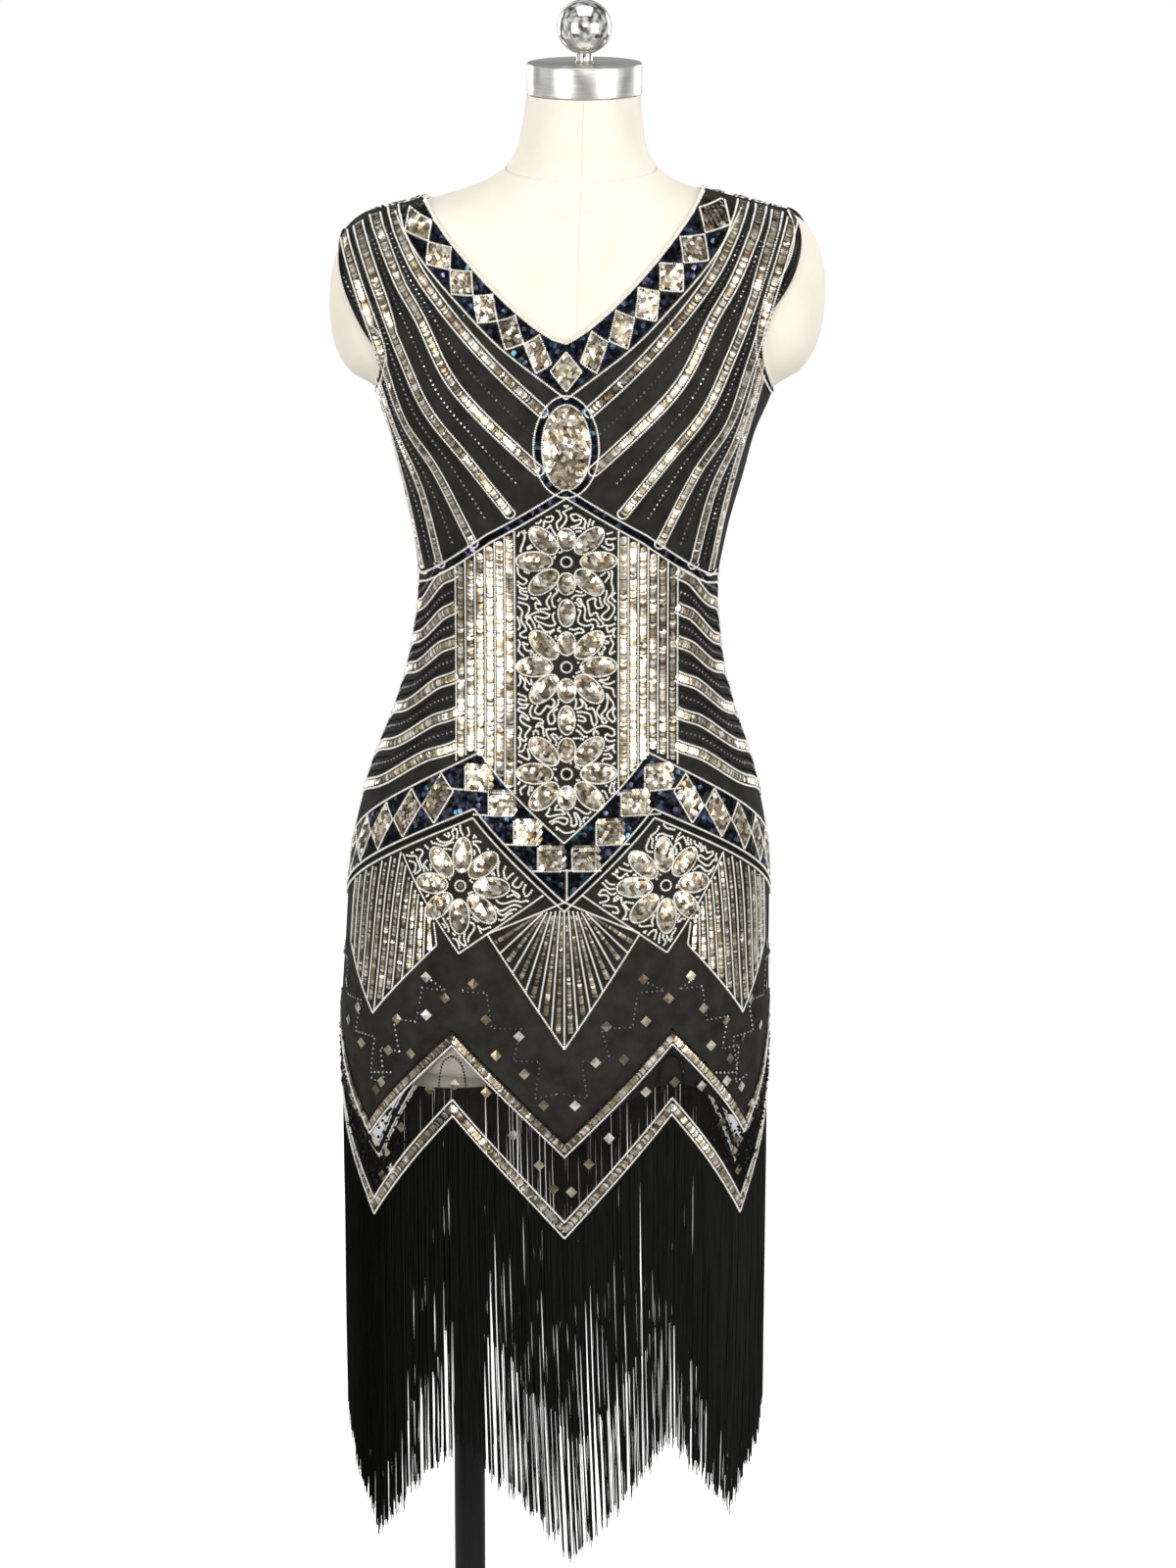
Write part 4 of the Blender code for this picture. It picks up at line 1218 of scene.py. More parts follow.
def side_fan(half, side):
    """Ribs from the belt and the kite down to a point near the side seam."""
    top = dense_line(mirror(SIDE_FAN_TOP, side), ROUND_SCALE)
    foot = dense_line(mirror(SIDE_FAN_FOOT, side), ROUND_SCALE)
    half.cream_line(half.round, foot)

    def rib(share, low, high):
        a = top[int(share * (len(top) - 1))]
        b = foot[int(share * (len(foot) - 1))]
        return dense_line([a + (b - a) * low, a + (b - a) * high], ROUND_SCALE)

    for k in range(SIDE_RIBS + 1):
        half.cream_line(half.round, rib(k / SIDE_RIBS, 0.0, 0.99))
    for k in range(SIDE_RIBS):
        line = rib((k + 0.5) / SIDE_RIBS, 0.03, 0.95)
        half.gold_strip(half.round, line, width=0.0028, end_width=0.0046, lines=False)


def zigzags(half):
    """The two zigzag strips at and above the hem."""
    turns = np.linspace(-90, 90, 361)
    world = turns if half.front else 180 - turns

    def above(base, rise):
        return np.stack([turns, base + rise], axis=1)

    hem, net = hem_height(world), net_height(world)
    half.gold_strip(half.round, above(hem, 0.0078), lines=False)
    half.cream_line(half.round, above(hem, 0.0012))
    half.cream_line(half.round, above(hem, 0.0144))
    half.gold_strip(half.round, above(net, 0.0064), lines=False)
    half.cream_line(half.round, above(net, 0.0004))
    half.jet_line(half.round, above(net, 0.0125), pitch=0.0022, size=0.0010)


# Corner points of what repeats round the plain cloth: distance from a notch of the hem, height
KEY_LINE = ((0.020, 0.752), (0.006, 0.744), (0.026, 0.744), (0.030, 0.716), (0.052, 0.716),
            (0.046, 0.690), (0.066, 0.690), (0.062, 0.660), (0.080, 0.664))
ARCH = ((0.0, 0.692), (0.007, 0.686), (0.010, 0.674), (0.011, 0.660), (0.011, 0.650))


def plain_zone(half):
    """Square sequins, dotted key lines and black arches on the plain cloth, and squares on the net."""
    for turn in (-90, -30, 30, 90):
        where = half.patch(turn, 0.0)
        lift = BACK_LIFT * (1 - math.cos(math.radians(turn if half.front else 180 - turn))) / 2
        lift = np.array([0.0, lift])
        for table in (SQUARES, NET_SQUARES):
            uv = np.array(table) + lift
            uv = uv + half.rng.uniform(-0.002, 0.002, uv.shape)
            half.scatter(half.squares, where, uv, 0.0046, 0.0008, tilt=0.10, turn=math.pi / 4)
        for side in (-1, 1):
            half.dot_line(where, dense_line(mirror(KEY_LINE, side) + lift))
            half.jet_line(where, smooth_line(mirror(ARCH, side) + lift), pitch=0.0026, size=0.0012)


NET_BEADS = 520              # before those between the patches are left out


def net_beads(half):
    """Loose black beads in patches on the net near the sides."""
    turns = half.rng.uniform(44, 88, NET_BEADS) * half.rng.choice((-1, 1), NET_BEADS)
    world = turns if half.front else 180 - turns
    low, high = hem_height(world) + 0.016, net_height(world) - 0.002
    z = low + (high - low) * half.rng.random(NET_BEADS)
    in_patch = np.sin(turns * 1.3) * np.sin(z * 310) > -0.35
    p, n, ok = half.round(np.stack([turns, z], axis=1)[in_patch])
    p, n = p[ok], n[ok]
    size = half.rng.uniform(0.0011, 0.0020, (len(p), 1)) * np.ones(3)
    half.jet.add(BEAD_SHAPE, p + n * 0.0008, upright(n), size)


def edge_row(heap, p, lift, pitch, size):
    """A row of beads along figure points, at lift above the cloth."""
    n = outward(p)
    points, t, n = walk(p + n * (SEAT_GAP + CLOTH + lift), n, pitch)
    heap.add(BEAD_SHAPE, points, frames_of(t, n), size)


def edges(half):
    """Cream beads along the neckline, and rows of black and cream beads along the armholes."""
    for side in (-1, 1):
        angles = np.array([neckline(side, half.front, s) for s in np.linspace(0, 1, 25)])
        if not half.front:
            angles[:, 0] = np.where(np.abs(angles[:, 0]) < 1, side * 180, angles[:, 0])
        edge_row(half.cream, high_points(angles[:, 0], angles[:, 1]), 0.0, 0.0026, 0.0014)
        angles = np.array([armhole(side, half.front, s, 90) for s in np.linspace(0, 1, 40)])
        for inside in (0.9, 2.3):
            inward = -side * inside if half.front else side * inside
            inner = high_points(angles[:, 0] + inward, angles[:, 1])
            edge_row(half.jet, inner, 0.0004, 0.0024, 0.00115)
        if half.front:
            part = angles[:26] if side < 0 else angles
            inner = high_points(part[:, 0] - side * 3.5, part[:, 1])
            edge_row(half.cream, inner, 0.0008, BEAD_PITCH, BEAD)


def trim(half):
    """Everything that is sewn on one half."""
    neck_band(half)
    bodice(half)
    medallion_rings(half)
    medallion_fill(half)
    chevron(half)
    centre_panel(half)
    waist_stripes(half)
    belt(half)
    rosettes(half)
    centre_fan(half)
    for side in (-1, 1):
        side_fan(half, side)
    zigzags(half)
    plain_zone(half)
    net_beads(half)
    edges(half)


# Materials
def new_material(name, colour, roughness, metallic=0.0, **sockets):
    """A Principled material with constant values on its sockets."""
    made = bpy.data.materials.new(name)
    made.use_nodes = True
    shader = made.node_tree.nodes["Principled BSDF"]
    shader.inputs["Base Color"].default_value = (*colour, 1)
    shader.inputs["Roughness"].default_value = roughness
    shader.inputs["Metallic"].default_value = metallic
    for key, value in sockets.items():
        shader.inputs[key.replace("_", " ")].default_value = value
    return made


def node(material, kind, **values):
    made = material.node_tree.nodes.new(kind)
    for key, value in values.items():
        if key in made.inputs:
            made.inputs[key].default_value = value
        else:
            setattr(made, key, value)
    return made


def coordinates(material, stretch=(1, 1, 1)):
    """Object coordinates in metres, stretched."""
    links = material.node_tree.links
    source = node(material, "ShaderNodeTexCoord")
    mapping = node(material, "ShaderNodeMapping")
    mapping.inputs["Scale"].default_value = stretch
    links.new(source.outputs["Object"], mapping.inputs["Vector"])
    return mapping.outputs["Vector"]


def ramp(material, factor, stops):
    """A colour ramp over factor. stops is a list of (place, colour)."""
    made = node(material, "ShaderNodeValToRGB")
    bar = made.color_ramp.elements
    while len(bar) < len(stops):
        bar.new(0.5)
    for element, (place, colour) in zip(bar, stops):
        element.position = place
        element.color = (*colour, 1)
    material.node_tree.links.new(factor, made.inputs["Fac"])
    return made.outputs["Color"]


def noise(material, vector, scale, detail=3.0):
    made = node(material, "ShaderNodeTexNoise", Scale=scale, Detail=detail, Roughness=0.55)
    material.node_tree.links.new(vector, made.inputs["Vector"])
    return made.outputs["Fac"]


def cells(material, vector, scale):
    """A random value for each cell of about 1 / scale metres, and the distance from its middle."""
    made = node(material, "ShaderNodeTexVoronoi", Scale=scale)
    split = node(material, "ShaderNodeSeparateColor")
    links = material.node_tree.links
    links.new(vector, made.inputs["Vector"])
    links.new(made.outputs["Color"], split.inputs["Color"])
    return split.outputs["Red"], made.outputs["Distance"]


def into(material, output, socket):
    shader = material.node_tree.nodes["Principled BSDF"]
    material.node_tree.links.new(output, shader.inputs[socket])


def bump(material, height, strength, distance):
    made = node(material, "ShaderNodeBump", Strength=strength, Distance=distance)
    links = material.node_tree.links
    links.new(height, made.inputs["Height"])
    into(material, made.outputs["Normal"], "Normal")


def spread(material, factor, low, high):
    """factor from 0 to 1 mapped to low to high."""
    made = node(material, "ShaderNodeMapRange")
    made.inputs["To Min"].default_value = low
    made.inputs["To Max"].default_value = high
    material.node_tree.links.new(factor, made.inputs["Value"])
    return made.outputs["Result"]


def two_tone(material, factor, low, high):
    """The base colour, from low to high as factor goes from 0.3 to 0.7."""
    into(material, ramp(material, factor, [(0.3, low), (0.7, high)]), "Base Color")


def net_cloth(name, alpha=1.0):
    """Fine black mesh cloth, warm where the light falls on it."""
    made = new_material(name, (0.020, 0.018, 0.015), 0.85, Alpha=alpha, Specular_IOR_Level=0.15)
    vector = coordinates(made)
    two_tone(made, noise(made, vector, 60.0, 4.0), (0.013, 0.012, 0.010), (0.030, 0.028, 0.023))
    _, height = cells(made, vector, 1100.0)
    bump(made, height, 0.35, 0.0004)
    return made


def cream_beads():
    made = new_material("cream_beads", (0.90, 0.82, 0.68), 0.28, Coat_Weight=0.4, Coat_Roughness=0.15)
    tone, _ = cells(made, coordinates(made), 450.0)
    into(made, ramp(made, tone, [(0.0, (0.90, 0.84, 0.72)), (0.5, (0.97, 0.94, 0.86)),
                                 (1.0, (1.0, 0.99, 0.95))]), "Base Color")
    return made


def by_piece(material):
    """A random value for each separate bead or sequin."""
    return node(material, "ShaderNodeNewGeometry").outputs["Random Per Island"]


def gold_sequins():
    made = new_material("gold_sequins", (0.60, 0.48, 0.31), 0.20, 1.0)
    tone = by_piece(made)
    stops = [(0.0, (0.17, 0.12, 0.07)), (0.3, (0.38, 0.30, 0.20)), (0.7, (0.64, 0.57, 0.45)),
             (1.0, (0.90, 0.87, 0.80))]
    into(made, ramp(made, tone, stops), "Base Color")
    slow = noise(made, coordinates(made), 60.0, 2.0)
    into(made, spread(made, slow, 0.12, 0.30), "Roughness")
    return made


def dark_sequins():
    """Black sequins with a few blue, cyan and lilac glints."""
    made = new_material("dark_sequins", (0.02, 0.02, 0.05), 0.20, 0.9)
    stops = [(0.0, (0.004, 0.004, 0.005)), (0.60, (0.006, 0.007, 0.012)), (0.86, (0.013, 0.017, 0.042)),
             (0.94, (0.07, 0.15, 0.21)), (0.99, (0.18, 0.14, 0.25))]
    into(made, ramp(made, by_piece(made), stops), "Base Color")
    return made


def jet_beads(name, tone):
    """Glossy black glass, bright where it faces a light. Given a lighter tone, its colour holds a painted
    highlight.
    """
    made = new_material(name, (tone, tone, tone), 0.16, 0.85)
    factor = noise(made, coordinates(made), 300.0)
    low, high = tone * 0.6, tone * 1.5
    two_tone(made, factor, (low, low, low), (high, high, high * 1.05))
    return made


def fringe_yarn():
    made = new_material("fringe_yarn", (0.004, 0.004, 0.003), 0.55, Specular_IOR_Level=0.10)
    tone = noise(made, coordinates(made, (1, 1, 0.04)), 900.0, 2.0)
    two_tone(made, tone, (0.004, 0.004, 0.0035), (0.012, 0.012, 0.010))
    bump(made, noise(made, coordinates(made), 2500.0, 2.0), 0.3, 0.0002)
    return made


def satin():
    made = new_material("slip_satin", (0.006, 0.006, 0.006), 0.42, Specular_IOR_Level=0.2)
    tone = noise(made, coordinates(made, (1, 1, 0.3)), 400.0)
    two_tone(made, tone, (0.004, 0.004, 0.004), (0.010, 0.009, 0.008))
    bump(made, tone, 0.15, 0.0003)
    return made


def ivory_cover(name="ivory_cover", dim=1.0):
    """Stretched jersey with a fine knit."""
    made = new_material(name, (0.87, 0.80, 0.68), 0.85, Sheen_Weight=0.15)
    tone = noise(made, coordinates(made), 25.0, 4.0)
    low, high = (0.83, 0.765, 0.64), (0.90, 0.84, 0.73)
    two_tone(made, tone, tuple(c * dim for c in low), tuple(c * dim for c in high))
    bump(made, noise(made, coordinates(made, (1, 1, 0.35)), 1400.0, 2.0), 0.18, 0.0004)
    return made


def steel(name, roughness, brushed):
    made = new_material(name, (0.62, 0.60, 0.57), roughness, 1.0)
    vector = coordinates(made, (1, 1, 30) if brushed else (1, 1, 1))
    tone = noise(made, vector, 40.0 if brushed else 15.0, 3.0)
    two_tone(made, tone, (0.62, 0.60, 0.57), (0.84, 0.82, 0.78))
    into(made, spread(made, tone, roughness * 0.8, roughness * 1.3), "Roughness")
    if brushed:
        bump(made, tone, 0.12, 0.0002)
    return made


def black_paint():
    made = new_material("black_paint", (0.006, 0.006, 0.006), 0.42, Specular_IOR_Level=0.25)
    vector = coordinates(made)
    two_tone(made, noise(made, vector, 30.0), (0.004, 0.004, 0.004), (0.009, 0.009, 0.009))
    bump(made, noise(made, vector, 900.0, 2.0), 0.12, 0.0003)
    return made


# Pieces
def gown_panel(front, material):
    """One opaque body panel, from the upper zigzag to the shoulder seams."""
    edge = 90 - SEAM_HALF_GAP
    turns = half_turns(front, edge)
    foot = net_height(turns) + 0.0004
    rows = [low_points(turns, foot + (SKIRT_Z - foot) * k / SKIRT_ROWS) for k in range(SKIRT_ROWS)]
    rows += [low_points(turns, z) for z in LEVELS]
    points, faces = weld([rows, quarter(-1, front, edge), quarter(1, front, edge)])
    gap = dress_gap(points[:, 2])
    name = "gown_front" if front else "gown_back"
    made = make_piece(name, *wall(points, faces, gap, gap + CLOTH), material, "beaded_net")
    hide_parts("dress_front" if front else "dress_back")
    return made


def net_panel(front, material):
    """The sheer band between the two zigzags."""
    turns = half_turns(front, 90 - SEAM_HALF_GAP)
    low, high = hem_height(turns), net_height(turns)
    rows = [low_points(turns, low + (high - low) * k / NET_ROWS) for k in range(NET_ROWS + 1)]
    points, faces = weld([rows])
    gap = np.full(len(points), SKIRT_GAP + CLOTH * 0.45)
    verts, closed = wall(points, faces, gap, gap + CLOTH * 0.2)
    made = make_piece("net_front" if front else "net_back", verts, closed, material, "beaded_net")
    made.visible_shadow = False
    return made


def hill(value, middle, width):
    """A smooth rise to 1 at middle."""
    return np.exp(-((value - middle) / width) ** 2)


def slip(material):
    """Plain slip from the hip to a softly waved hem, with its two peaks in front unlike each other."""
    turns = np.linspace(0, 360, 2 * COLUMNS + 1)
    hem = LINING_HEM_Z - LINING_WAVE * np.cos(np.radians(turns) * HEM_POINTS)
    hem += 0.018 * hill(turns, 330, 14) - 0.022 * hill(turns, 30, 15)
    rows = [low_points(turns, hem + (SLIP_TOP_Z - hem) * k / SLIP_ROWS) for k in range(SLIP_ROWS + 1)]
    points, faces = weld([rows])
    gap = np.full(len(points), LINING_GAP)
    made = make_piece("slip", *wall(points, faces, gap, gap + LINING_CLOTH), material, "slip_satin")
    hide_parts("slip_lining")
    return made


THREADS = 1350            # in each half of the fringe
THREAD_RADIUS = 0.00052
THREAD_TAPER = 0.32
THREAD_STEPS = 7
THREAD_SPAN = 179.4       # degrees of turn that the threads hang from
THREAD_REACH = 0.0035     # the furthest that one is drawn to its bunch
THREAD_DRIFT = 0.0003
WISPS = 210               # bunches that the threads' ends gather in
WISP_SPAN = 178


def tube_faces(steps, sides):
    """Triangles of a tube's side, over rings of points."""
    faces = []
    for k in range(steps):
        for a in range(sides):
            b = (a + 1) % sides
            low, high = k * sides, (k + 1) * sides
            faces += [(low + a, low + b, high + b), (low + a, high + b, high + a)]
    return faces


def fringe(front, seed, material):
    """Fine threads that hang from the zigzag hem and gather in uneven wisps."""
    rng = np.random.default_rng(seed)
    step = THREAD_SPAN / THREADS
    local = -THREAD_SPAN / 2 + step * (np.arange(THREADS) + rng.uniform(-0.3, 1.3, THREADS))
    turns = local if front else local + 180
    top = hem_height(turns) - 0.0002
    base = low_points(turns, top)
    out = unit(outward(base) * np.array([1, 1, 0]))
    side = np.cross(out, UP)
    start = base + out * (SKIRT_GAP + CLOTH / 2 + rng.uniform(-0.0008, 0.0008, THREADS))[:, None]
    bunches = -WISP_SPAN / 2 + WISP_SPAN / WISPS * (np.arange(WISPS) + rng.uniform(-0.2, 1.2, WISPS))
    nearest = bunches[np.argmin(np.abs(local[:, None] - bunches[None]), axis=1)]
    to_bunch = (nearest - local) * DEGREE * rng.uniform(0.55, 1.05, THREADS)
    to_bunch = np.clip(to_bunch, -THREAD_REACH, THREAD_REACH)
    length = LOCK_LENGTH + rng.normal(0, 0.004, THREADS) - 0.02 * (rng.random(THREADS) < 0.03)
    length += 0.005 * np.sin(nearest * 3.1)
    length -= 0.022 * (hill(local, 62, 15) if front else hill(np.abs(local), 29, 13))
    lean = 0.009 * hill(local, 0, 26)
    lean = lean - 0.006 * hill(local, 60, 16) if front else -lean
    phase = rng.uniform(0, 2 * np.pi, THREADS)
    wisp = -to_bunch - lean + rng.normal(0, 0.0005, THREADS)
    curl = rng.uniform(0.0001, 0.0005, THREADS)
    rings = []
    for k in range(THREAD_STEPS + 1):
        s = k / THREAD_STEPS
        drift = THREAD_DRIFT * (np.sin(phase * 3 + 4.5 * s) - np.sin(phase * 3))
        shift = side * (wisp * s ** 1.5 + drift + curl * np.sin(phase + 9 * s) * s)[:, None]
        inward = out * (-0.0020 * s + 0.0006 * np.sin(phase * 2 + 5 * s) * s)[:, None]
        centre = start + shift + inward - UP * (length * s)[:, None]
        radius = THREAD_RADIUS * (1 - THREAD_TAPER * s)
        ring = [centre + (side * math.cos(a) + out * math.sin(a)) * radius
                for a in (0.0, 2 * math.pi / 3, 4 * math.pi / 3)]
        rings.append(np.stack(ring, axis=1))
    verts = np.stack(rings, axis=1).reshape(THREADS, -1, 3)
    last = 3 * THREAD_STEPS
    faces = [(0, 2, 1), *tube_faces(THREAD_STEPS, 3), (last, last + 1, last + 2)]
    faces = np.array(faces)[:, ::-1]
    index = faces[None] + (np.arange(THREADS) * 3 * (THREAD_STEPS + 1))[:, None, None]
    name = "fringe_threads_front" if front else "fringe_threads_back"
    made = make_piece(name, verts.reshape(-1, 3), index.reshape(-1, 3), material, "fringe_yarn")
    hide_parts("fringe_front" if front else "fringe_back")
    return made


def foot_rows(turns):
    """The closed underside of the torso: a flat foot, its rounded rim, and the stub that takes the pole."""
    angle = np.radians(turns)
    rows = []
    for z, scale in STUB_RINGS:
        radius = STUB_RADIUS * scale
        rows.append(np.stack([STUB_X + radius * np.sin(angle), -radius * np.cos(angle),
                              np.full(turns.shape, z)], axis=-1))
    middle = np.tile([STUB_X, 0, STUB_RINGS[0][0]], (len(turns), 1))
    for z, scale in FOOT_RINGS:
        ring = low_points(turns, z)
        middle_line = np.array([LEAN_X, 0, z])
        rows.append(middle_line + (ring - middle_line) * scale)
    return [middle] + rows


def stump_rows(side):
    """Rings from the armhole's edge to the middle of the stump."""
    shares = np.arange(UPPER_ROWS + 1) / UPPER_ROWS
    front = [armhole(side, True, s, 90) for s in shares]
    back = [armhole(side, False, s, 90) for s in shares[::-1]]
    loop = np.array(front + back[1:])
    if side > 0:
        loop = loop[::-1]
    middle = np.array([side * 90, armhole_top(side) * STUMP_MIDDLE])
    rows = []
    for share in np.linspace(0, 1, STUMP_ROWS + 1):
        ring = loop + (middle - loop) * share
        rows.append(high_points(ring[:, 0], ring[:, 1]))
    return rows


def neck_rows():
    """Rings from the dress's neckline up to the flat top of the covered neck."""
    steps = UPPER_ROWS - NECK_ROW
    right = [neckline(1, True, k / steps) for k in range(steps)]
    right += [neckline(1, False, k / steps) for k in range(steps, -1, -1)]
    left = [neckline(-1, False, k / steps) for k in range(1, steps)]
    left += [neckline(-1, True, k / steps) for k in range(steps, -1, -1)]
    loop = np.array(right + left)
    over = np.abs(np.abs(loop[:, 0]) - 90) < 0.01
    loop[over, 0] = np.sign(loop[over, 0]) * 90
    base = high_points(loop[:, 0], loop[:, 1])
    half = section(np.array(NECK_TOP_Z))[0]
    angle = np.radians(loop[:, 0])
    top = np.stack([lean_x(NECK_TOP_Z) + half * np.sin(angle), -half * np.cos(angle),
                    np.full(angle.shape, NECK_TOP_Z)], axis=-1)
    rows = [base]
    for share in np.linspace(0, 1, NECK_RINGS + 1)[1:]:
        aim = base + (top - base) * share
        origin = np.stack([lean_x(aim[:, 2]), np.zeros(len(aim)), aim[:, 2]], axis=-1)
        rows.append(reach(origin, unit(aim - origin)))
    rows.append(np.tile([lean_x(NECK_TOP_Z), 0, NECK_TOP_Z], (len(base), 1)))
    return rows


def form_body(material):
    """The covered torso."""
    turns = np.linspace(0, 360, 2 * COLUMNS + 1)
    level = foot_rows(turns) + [low_points(turns, z) for z in (0.695, 0.703, *LEVELS)]
    quarters = [quarter(side, front, 90, to_stump=True) for side in (-1, 1) for front in (True, False)]
    verts, faces = weld([level] + quarters + [stump_rows(-1), stump_rows(1), neck_rows()])
    made = make_piece("form_body", verts, faces, material, "ivory_cover")
    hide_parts("form_torso")
    return made


def tube(points, radius, sides=5):
    """Points and triangles of a thin tube along a line in space."""
    tangent = unit(np.gradient(points, axis=0))
    across = unit(np.cross(tangent, np.array([0.0, 0.31, 0.95])))
    other = np.cross(tangent, across)
    angles = 2 * np.pi * np.arange(sides) / sides
    ring = np.cos(angles)[:, None, None] * across + np.sin(angles)[:, None, None] * other
    verts = (points + ring * radius).transpose(1, 0, 2).reshape(-1, 3)
    return verts, np.array(tube_faces(len(points) - 1, sides))


def form_seams(material):
    """The centre front and back seams of the cover, and the seam round the base of the neck."""
    verts, faces, lines, count = [], [], [], 0
    angles = np.linspace(0, 2 * np.pi, 97)
    z = NECK_SEAM_Z - 0.006 * np.cos(angles)
    origin = np.stack([lean_x(z), np.zeros(len(z)), z], axis=-1)
    ray = np.stack([np.sin(angles), -np.cos(angles), np.zeros(len(z))], axis=-1)
    lines.append(reach(origin, ray))
    for facing, low in ((-1, FRONT_NECK_Z), (1, BACK_NECK_Z)):
        z = np.linspace(low + 0.004, NECK_TOP_Z - 0.001, 50)
        origin = np.stack([lean_x(z), np.zeros(len(z)), z], axis=-1)
        lines.append(reach(origin, (0, facing, 0)))
    for line in lines:
        made, index = tube(line + outward(line) * -0.00012, 0.00035)
        verts.append(made)
        faces.append(index + count)
        count += len(made)
    return make_piece("form_seams", np.concatenate(verts), np.concatenate(faces), material, "ivory_cover")


def turned(name, profile, x, segments, material, slot, node_name, ring=False):
    """A piece turned about the vertical line at x, from a profile of (radius, height)."""
    angles = 2 * np.pi * np.arange(segments) / segments
    verts = [(x + radius * c, radius * s, z)
             for radius, z in profile for c, s in zip(np.cos(angles), np.sin(angles))]
    count = len(profile)
    rows = [[j * segments + k for k in range(segments)] for j in range(count)]
    pairs = [(rows[j], rows[(j + 1) % count]) for j in range(count if ring else count - 1)]
    faces = [[low[k - 1], low[k], high[k], high[k - 1]] for low, high in pairs for k in range(segments)]
    if not ring:
        faces += [rows[0][::-1], rows[-1]]
    made = make_piece(name, verts, faces, material, slot)
    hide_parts(node_name)
    return made


def arc(radius, centre_r, centre_z, start, stop, count=4):
    """Profile points of a rounded edge."""
    return [(centre_r + radius * math.cos(a), centre_z + radius * math.sin(a))
            for a in np.linspace(math.radians(start), math.radians(stop), count)]


def neck_fittings(brushed, polished):
    low, top = NECK_TOP_Z + PIECE_GAP, NECK_TOP_Z + CAP_HEIGHT
    cap = arc(EDGE, CAP_RADIUS - EDGE, low + EDGE, -90, 0) + arc(EDGE, CAP_RADIUS - EDGE, top - EDGE, 0, 90)
    turned("cap", cap, CAP_X, 96, brushed, "brushed_steel", "neck_cap")
    foot = top + PIECE_GAP
    start = math.asin(STEM_RADIUS / BALL_RADIUS)
    middle = foot + STEM_HEIGHT + BALL_RADIUS * math.cos(start)
    ball = [(BALL_RADIUS * math.sin(a), middle - BALL_RADIUS * math.cos(a))
            for a in np.linspace(start, math.pi, 40, endpoint=False)]
    stem = [(STEM_RADIUS + EDGE * 0.9, foot), (STEM_RADIUS + EDGE, foot + EDGE * 0.6),
            (STEM_RADIUS + EDGE * 0.4, foot + EDGE), (STEM_RADIUS, foot + 2 * EDGE)]
    turned("ball", stem + ball + [(EDGE * 0.3, middle + BALL_RADIUS)], CAP_X, 72, polished,
           "polished_steel", "finial")


def stand(material):
    low = BASE_HEIGHT + PIECE_GAP
    pole = [(POLE_RADIUS - 0.0004, low), (POLE_RADIUS, low + 0.0004), (POLE_RADIUS, STUB_FOOT_Z - 0.0007),
            (POLE_RADIUS - 0.0004, STUB_FOOT_Z - PIECE_GAP)]
    turned("pole", pole, POLE_X, 64, material, "black_paint", "stand_pole")
    bore, collar = POLE_RADIUS + PIECE_GAP, SOCKET_RADIUS - SOCKET_NECK
    flange, top = low + SOCKET_FLANGE, BASE_HEIGHT + SOCKET_HEIGHT
    socket = [(bore, low), (SOCKET_RADIUS, low)]
    socket += arc(EDGE, SOCKET_RADIUS - EDGE, flange - EDGE, 0, 80)
    socket += [(collar, flange + SOCKET_NECK)]
    socket += arc(EDGE, collar - EDGE, top - EDGE, 0, 90) + [(bore, top)]
    turned("socket", socket, POLE_X, 64, material, "black_paint", "stand_socket", ring=True)
    base = [(BASE_RADIUS - EDGE, 0), (BASE_RADIUS, EDGE)]
    base += arc(2 * EDGE, BASE_RADIUS - 2 * EDGE, BASE_HEIGHT - 2 * EDGE, 0, 90, 6)
    turned("base", base, CENTRE_X, 128, material, "black_paint", "stand_base")


CAMERA_TILT = 13.2        # degrees down
CAMERA_X = 0.0186
FLOOR_RADIUS = 3.2


def camera():
    """At the photo's angle, looking down from in front on a long lens."""
    lens = bpy.data.cameras.new("camera")
    lens.lens = 135
    lens.sensor_width = 36
    made = bpy.data.objects.new("camera", lens)
    made.location = (CAMERA_X - CENTRE_X, -4.55, 1.956)
    made.rotation_euler = (math.radians(90 - CAMERA_TILT), 0, 0)
    bpy.context.collection.objects.link(made)
    bpy.context.scene.camera = made


def area_light(name, place, target, size, power):
    data = bpy.data.lights.new(name, "AREA")
    data.shape = "RECTANGLE"
    data.size, data.size_y = size
    data.energy = power
    made = bpy.data.objects.new(name, data)
    made.location = place
    aim = np.array(target) - np.array(place)
    flat = math.hypot(aim[0], aim[1])
    made.rotation_euler = (math.pi / 2 + math.atan2(aim[2], flat), 0, math.atan2(-aim[0], aim[1]))
    bpy.context.collection.objects.link(made)


def white_floor():
    """A round white floor that gives no light back to the dress."""
    floor_paint = new_material("floor", (0.90, 0.90, 0.89), 0.9)
    shader = floor_paint.node_tree.nodes["Principled BSDF"]
    shader.inputs["Emission Color"].default_value = (1, 1, 1, 1)
    shader.inputs["Emission Strength"].default_value = 0.60
    mesh = bpy.data.meshes.new("floor")
    angles = np.linspace(0, 2 * np.pi, 129)[:-1]
    rim = [(FLOOR_RADIUS * math.cos(a), FLOOR_RADIUS * math.sin(a), 0) for a in angles]
    mesh.from_pydata(rim, [], [range(128)])
    mesh.materials.append(floor_paint)
    floor = bpy.data.objects.new("floor", mesh)
    floor.visible_glossy = False
    floor.visible_diffuse = False
    bpy.context.collection.objects.link(floor)


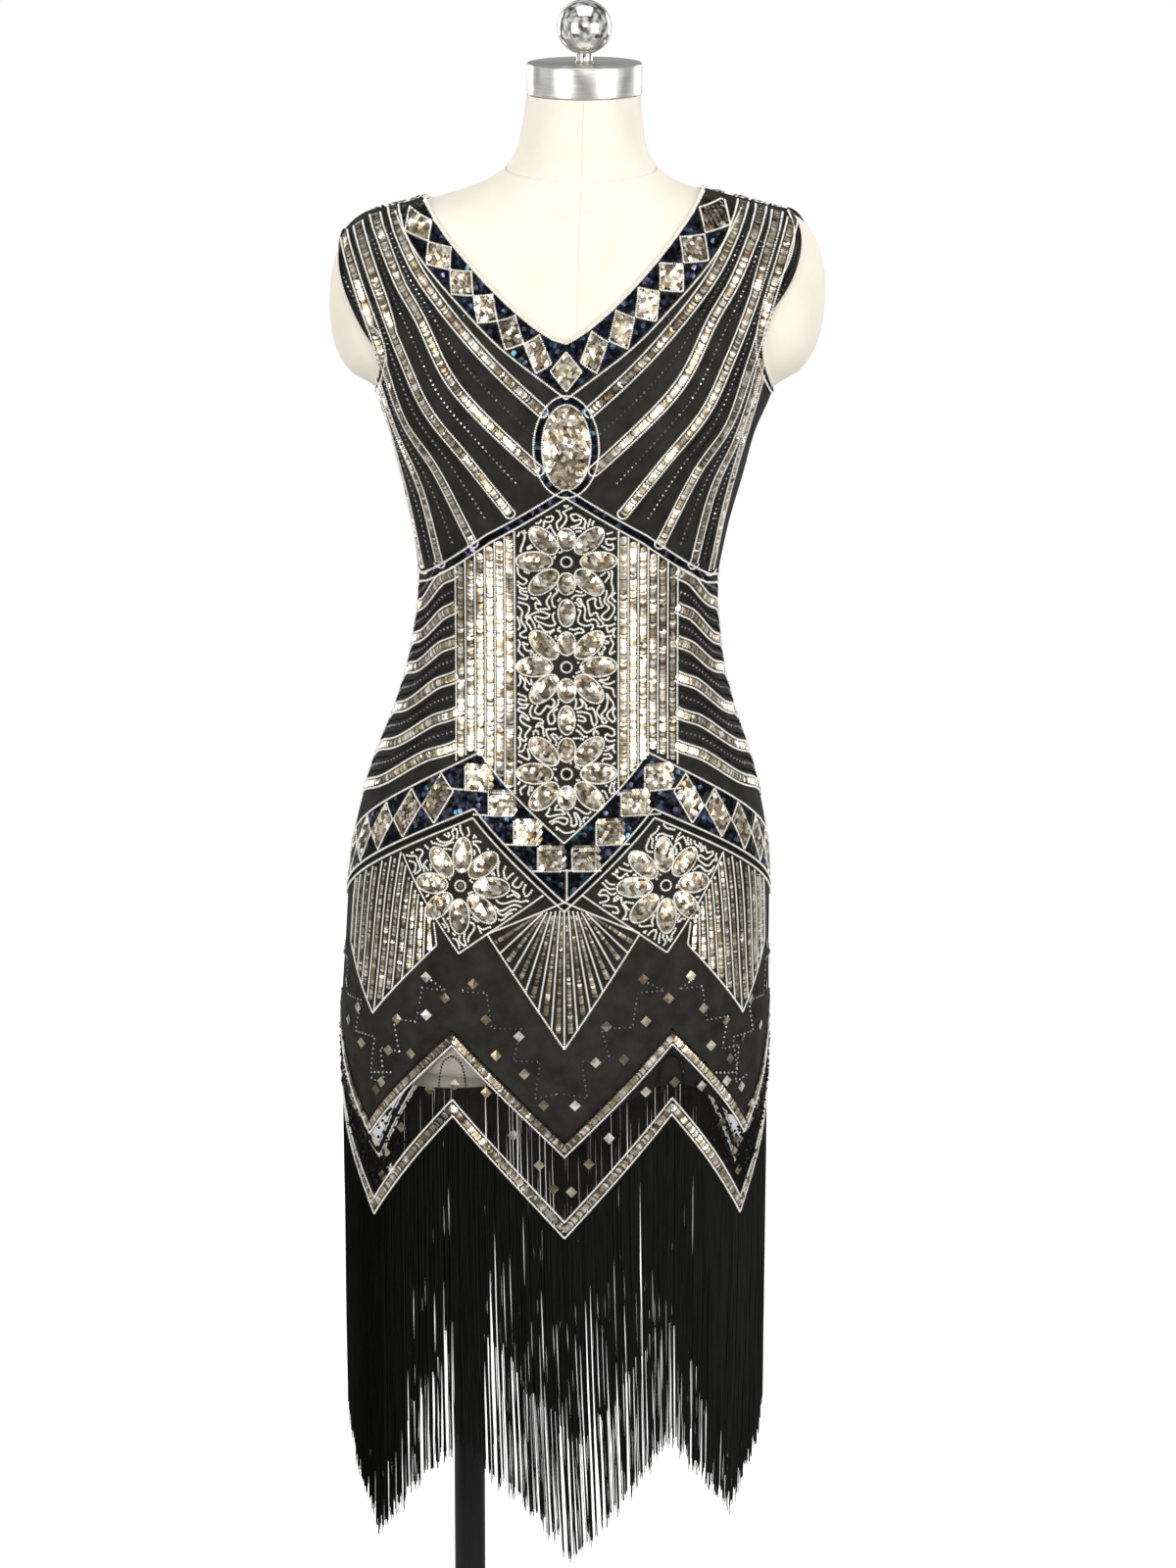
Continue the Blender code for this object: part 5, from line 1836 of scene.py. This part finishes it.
def patchy_world():
    """White where the camera sees it, and bright and dim patches for what the dress reflects."""
    world = bpy.data.worlds.new("world")
    bpy.context.scene.world = world
    world.use_nodes = True
    nodes, links = world.node_tree.nodes, world.node_tree.links
    background = nodes["Background"]
    background.inputs["Strength"].default_value = 0.50
    sky = nodes.new("ShaderNodeBackground")
    sky.inputs["Strength"].default_value = 1.0
    path, mix = nodes.new("ShaderNodeLightPath"), nodes.new("ShaderNodeMixShader")
    place, patches = nodes.new("ShaderNodeTexCoord"), nodes.new("ShaderNodeTexNoise")
    patches.inputs["Scale"].default_value = 2.6
    patches.inputs["Detail"].default_value = 1.5
    tones = nodes.new("ShaderNodeValToRGB")
    for element, at, value in zip(tones.color_ramp.elements, (0.40, 0.62), (0.16, 1.9)):
        element.position = at
        element.color = (value, value, value, 1)
    links.new(place.outputs["Generated"], patches.inputs["Vector"])
    links.new(patches.outputs["Fac"], tones.inputs["Fac"])
    links.new(tones.outputs["Color"], background.inputs["Color"])
    sky.inputs["Color"].default_value = (1, 1, 1, 1)
    links.new(path.outputs["Is Camera Ray"], mix.inputs["Fac"])
    links.new(background.outputs[0], mix.inputs[1])
    links.new(sky.outputs[0], mix.inputs[2])
    links.new(mix.outputs[0], nodes["World Output"].inputs["Surface"])


def studio():
    """The surroundings, and soft lights in front, above and behind."""
    bpy.context.scene.view_settings.view_transform = "Standard"
    white_floor()
    patchy_world()
    area_light("left", (-1.95, -2.15, 1.35), (0, 0, 1.05), (1.3, 1.9), 36)
    area_light("right", (2.10, -2.05, 1.40), (0, 0, 1.05), (1.5, 1.9), 42)
    area_light("front", (0.25, -3.7, 2.35), (0, 0, 1.15), (1.2, 0.8), 8)
    area_light("top", (0.0, -0.4, 3.6), (0, 0, 1.0), (2.0, 2.0), 20)
    area_light("back_left", (-2.0, 2.2, 1.5), (0, 0, 1.0), (0.9, 1.8), 20)
    area_light("back_right", (2.1, 2.1, 1.5), (0, 0, 1.0), (0.9, 1.8), 20)


def main():
    camera()
    cloth, sheer = net_cloth("black_net"), net_cloth("sheer_net", alpha=0.20)
    cream, gold, dark = cream_beads(), gold_sequins(), dark_sequins()
    # the dotted beads are black glass in a lighter tone: a painted highlight
    jet, highlit_jet = jet_beads("jet_beads", 0.03), jet_beads("jet_beads_painted_highlight", 0.36)
    yarn, cover = fringe_yarn(), ivory_cover()
    form_body(cover)
    form_seams(ivory_cover("ivory_seam", 0.80))
    under = slip(satin())
    panels, nets, trims, fringes = [], [], [], []
    for front, seed in ((True, 11), (False, 12)):
        panels.append(gown_panel(front, cloth))
        nets.append(net_panel(front, sheer))
        half = Half(front, seed)
        trim(half)
        made = [half.cream.make("cream_beads_" + half.name, cream, "beaded_net"),
                half.gold.make("gold_sequins_" + half.name, gold, "gold_sequins", smooth=False),
                half.dark.make("dark_sequins_" + half.name, dark, "beaded_net", smooth=False),
                half.jet.make("jet_beads_" + half.name, jet, "beaded_net"),
                half.dots.make("dotted_beads_" + half.name, highlit_jet, "beaded_net"),
                half.squares.make("square_sequins_" + half.name, gold, "gold_sequins", smooth=False)]
        trims.append(made)
        fringes.append(fringe(front, seed + 20, yarn))
    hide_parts("bodice_medallion")
    neck_fittings(steel("brushed_steel", 0.30, True), steel("polished_steel", 0.12, False))
    stand(black_paint())
    studio()


main()
